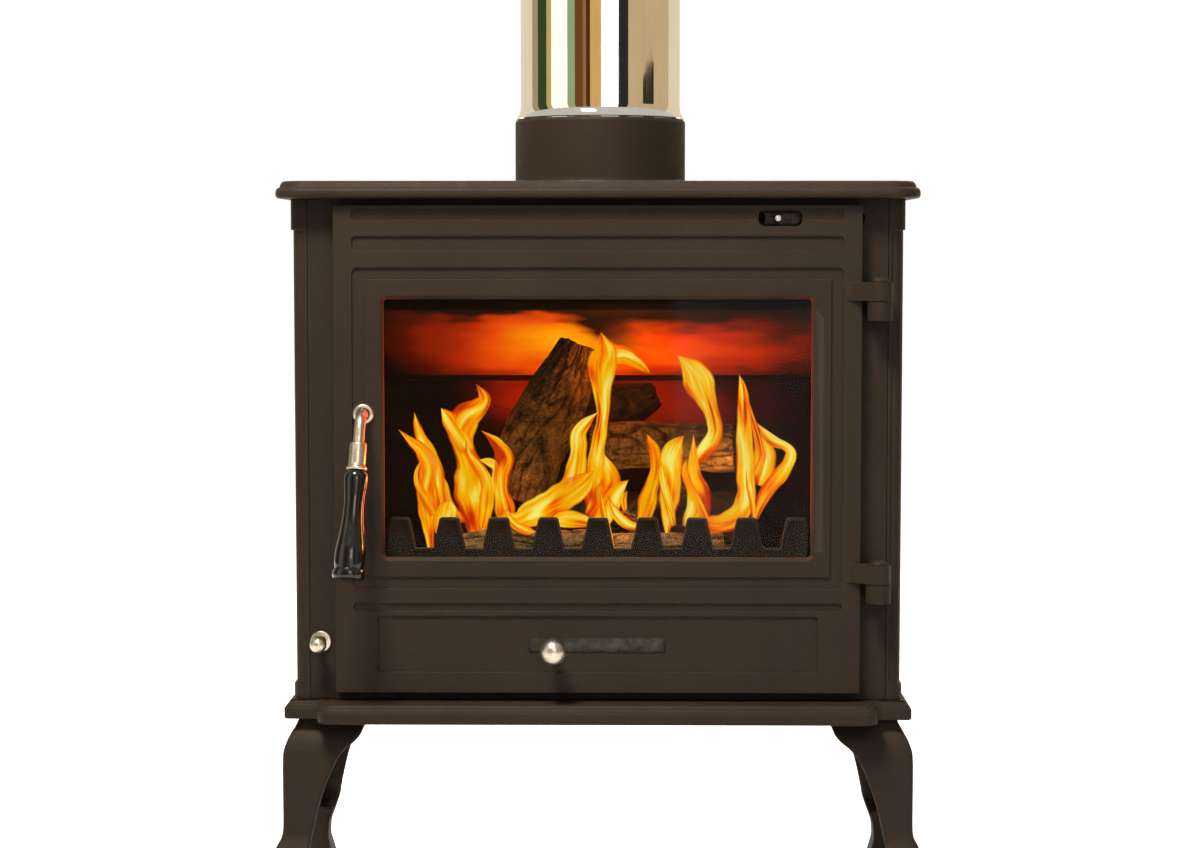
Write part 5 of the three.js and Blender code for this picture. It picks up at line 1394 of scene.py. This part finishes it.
def card(name, middle, wide, tall, color, strength=1.0):
    """A flat card that only the bright pipe's reflections see. It faces the flue."""
    signs = ((-1, -1), (1, -1), (1, 1), (-1, 1))
    corners = [Vector((x * wide / 2, 0, z * tall / 2)) for x, z in signs]
    material, _, _ = new_material(
        name,
        Base_Color=rgba(BLACK),
        Roughness=1.0,
        Specular_IOR_Level=0.0,
        Emission_Color=rgba(color),
        Emission_Strength=strength,
    )
    made = piece_from(name, mesh_of(name, corners, [(0, 1, 2, 3)]), material)
    away = middle - middle_of("flue_collar")
    made.rotation_euler = (0, 0, math.atan2(away.y, away.x) - math.pi / 2)
    made.location = middle
    made.visible_camera = False
    made.visible_diffuse = False
    made.visible_shadow = False
    made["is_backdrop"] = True


def room_in_the_pipe():
    """The room that the pipe mirrors: each strip is (from, to) across the pipe, -1 to 1."""
    far, up, tall, widest = 3.0, 1.15, 2.2, 0.35  # widest is the turn that one card may span
    pipe = middle_of("flue_collar")

    def seen_at(turn, distance, z):
        spot = pipe + Vector((math.sin(turn), -math.cos(turn), 0)) * distance
        spot.z = z
        return spot

    strips = [
        ((-1.00, -0.84), (0.78, 0.70, 0.54), 1.0),
        ((-0.84, -0.77), (0.42, 0.28, 0.19), 1.0),
        ((-0.77, -0.66), (0.035, 0.065, 0.02), 1.0),
        ((-0.66, -0.60), (0.55, 0.40, 0.16), 1.0),
        ((-0.60, -0.40), (1.0, 0.98, 0.90), 1.3),
        ((-0.40, -0.31), (0.30, 0.40, 0.22), 1.0),
        ((-0.31, -0.21), (0.16, 0.062, 0.022), 1.0),
        ((-0.21, -0.17), (0.30, 0.15, 0.06), 1.0),
        ((-0.17, -0.12), (0.07, 0.026, 0.012), 1.0),
        ((-0.12, 0.02), (0.66, 0.40, 0.15), 1.0),
        ((0.02, 0.23), (1.0, 1.0, 1.0), 1.4),
        ((0.23, 0.35), (0.022, 0.024, 0.028), 1.0),
        ((0.35, 0.85), (0.56, 0.42, 0.25), 1.0),
        ((0.85, 1.00), (0.78, 0.66, 0.49), 1.0),
    ]
    for i, ((low, high), color, strength) in enumerate(strips):
        a, b = 2 * math.asin(low), 2 * math.asin(high)
        cuts = max(1, math.ceil((b - a) / widest))
        for c in range(cuts):
            start, end = a + (b - a) * c / cuts, a + (b - a) * (c + 1) / cuts
            spot = seen_at((start + end) / 2, far, up)
            wide = 2 * far * math.tan((end - start) / 2) * 1.02
            card(f"room_strip_{i}_{c}", spot, wide, tall, color, strength)
    doorway = seen_at(2 * math.asin(0.60), far - 0.2, 0.62)
    card("room_doorway", doorway, 0.95, 1.02, (0.03, 0.03, 0.02))


def sky():
    """White to the camera, less so in reflections, and dim as a light, brighter from above."""
    world = bpy.data.worlds.new("white_studio")
    bpy.context.scene.world = world
    world.use_nodes = True
    tree = world.node_tree
    rays = node(tree, "ShaderNodeLightPath").outputs
    way = node(tree, "ShaderNodeTexCoord").outputs["Generated"]
    height = node(tree, "ShaderNodeSeparateXYZ", {"Vector": way}).outputs["Z"]
    dim = spread(tree, height, -0.2, 0.7, 0.06, 0.20)
    mirrored = maths(tree, "MULTIPLY", rays["Is Glossy Ray"], 0.55)
    direct = maths(tree, "MAXIMUM", rays["Is Camera Ray"], mirrored)
    background = tree.nodes["Background"].inputs
    tree.links.new(maths(tree, "MAXIMUM", direct, dim), background["Strength"])
    background["Color"].default_value = rgba(WHITE)


def floor():
    """A white floor that glows a little, less so near the stove, where it shows a painted shade, and
    lights nothing matt.
    """
    material, tree, shader = new_material(
        "floor_white",
        Base_Color=(0.86, 0.85, 0.83, 1),
        Roughness=0.9,
        Specular_IOR_Level=0.1,
        Emission_Color=rgba(WHITE),
    )
    place = node(tree, "ShaderNodeTexCoord").outputs["Object"]
    away = vectors(tree, "LENGTH", {0: place}, "Value")
    # painted shade: the glow is weaker near the stove, so the floor darkens round it
    feed(tree, shader, Emission_Strength=spread(tree, away, 0.3, 1.2, 0.78, 0.95))
    half = 8
    corners = [(-half, -half, 0), (half, -half, 0), (half, half, 0), (-half, half, 0)]
    made = piece_from("floor", mesh_of("floor", corners, [(0, 1, 2, 3)]), material)
    made.visible_diffuse = False
    made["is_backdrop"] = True


def studio_lamps():
    """The key lamp, a weak fill, one to each side that the pipe doesn't mirror, and the back."""
    aimed_at = Vector((0, 0, 0.5))
    lamps = (
        ("key", (-0.45, -1.2, 2.2), 0.5, 62, (1.0, 0.92, 0.82)),
        ("fill", (0.5, -2.6, 1.5), 0.7, 7, (1.0, 0.93, 0.84)),
        ("left_side", (-2.3, 0.9, 1.3), 0.9, 16, (1.0, 0.95, 0.88)),
        ("right_side", (2.3, 1.0, 1.3), 0.9, 12, (1.0, 0.95, 0.88)),
        ("back", (0.3, 1.9, 2.4), 1.6, 45, (1.0, 0.97, 0.93)),
    )
    for name, spot, size, power, color in lamps:
        made = lamp(name, "AREA", spot, power, color, aimed_at - Vector(spot), size=size)
        made.visible_glossy = "side" not in name


def camera():
    """In front of the stove and a little to the right, near the height of its top plate."""
    data = bpy.data.cameras.new("camera")
    data.lens = 75.36
    data.sensor_width = 36
    eye = placed("camera", data)
    eye.location = at(30.2, -2200, 612)
    eye.rotation_euler = (math.radians(86.04), 0, math.radians(0.73))
    bpy.context.scene.camera = eye
    bpy.context.scene.view_settings.view_transform = "Standard"


room_in_the_pipe()
sky()
floor()
studio_lamps()
camera()

sizes = {"cad": cad_box, "visual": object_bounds()}
{key: [list(corner) for corner in box] for key, box in sizes.items()}
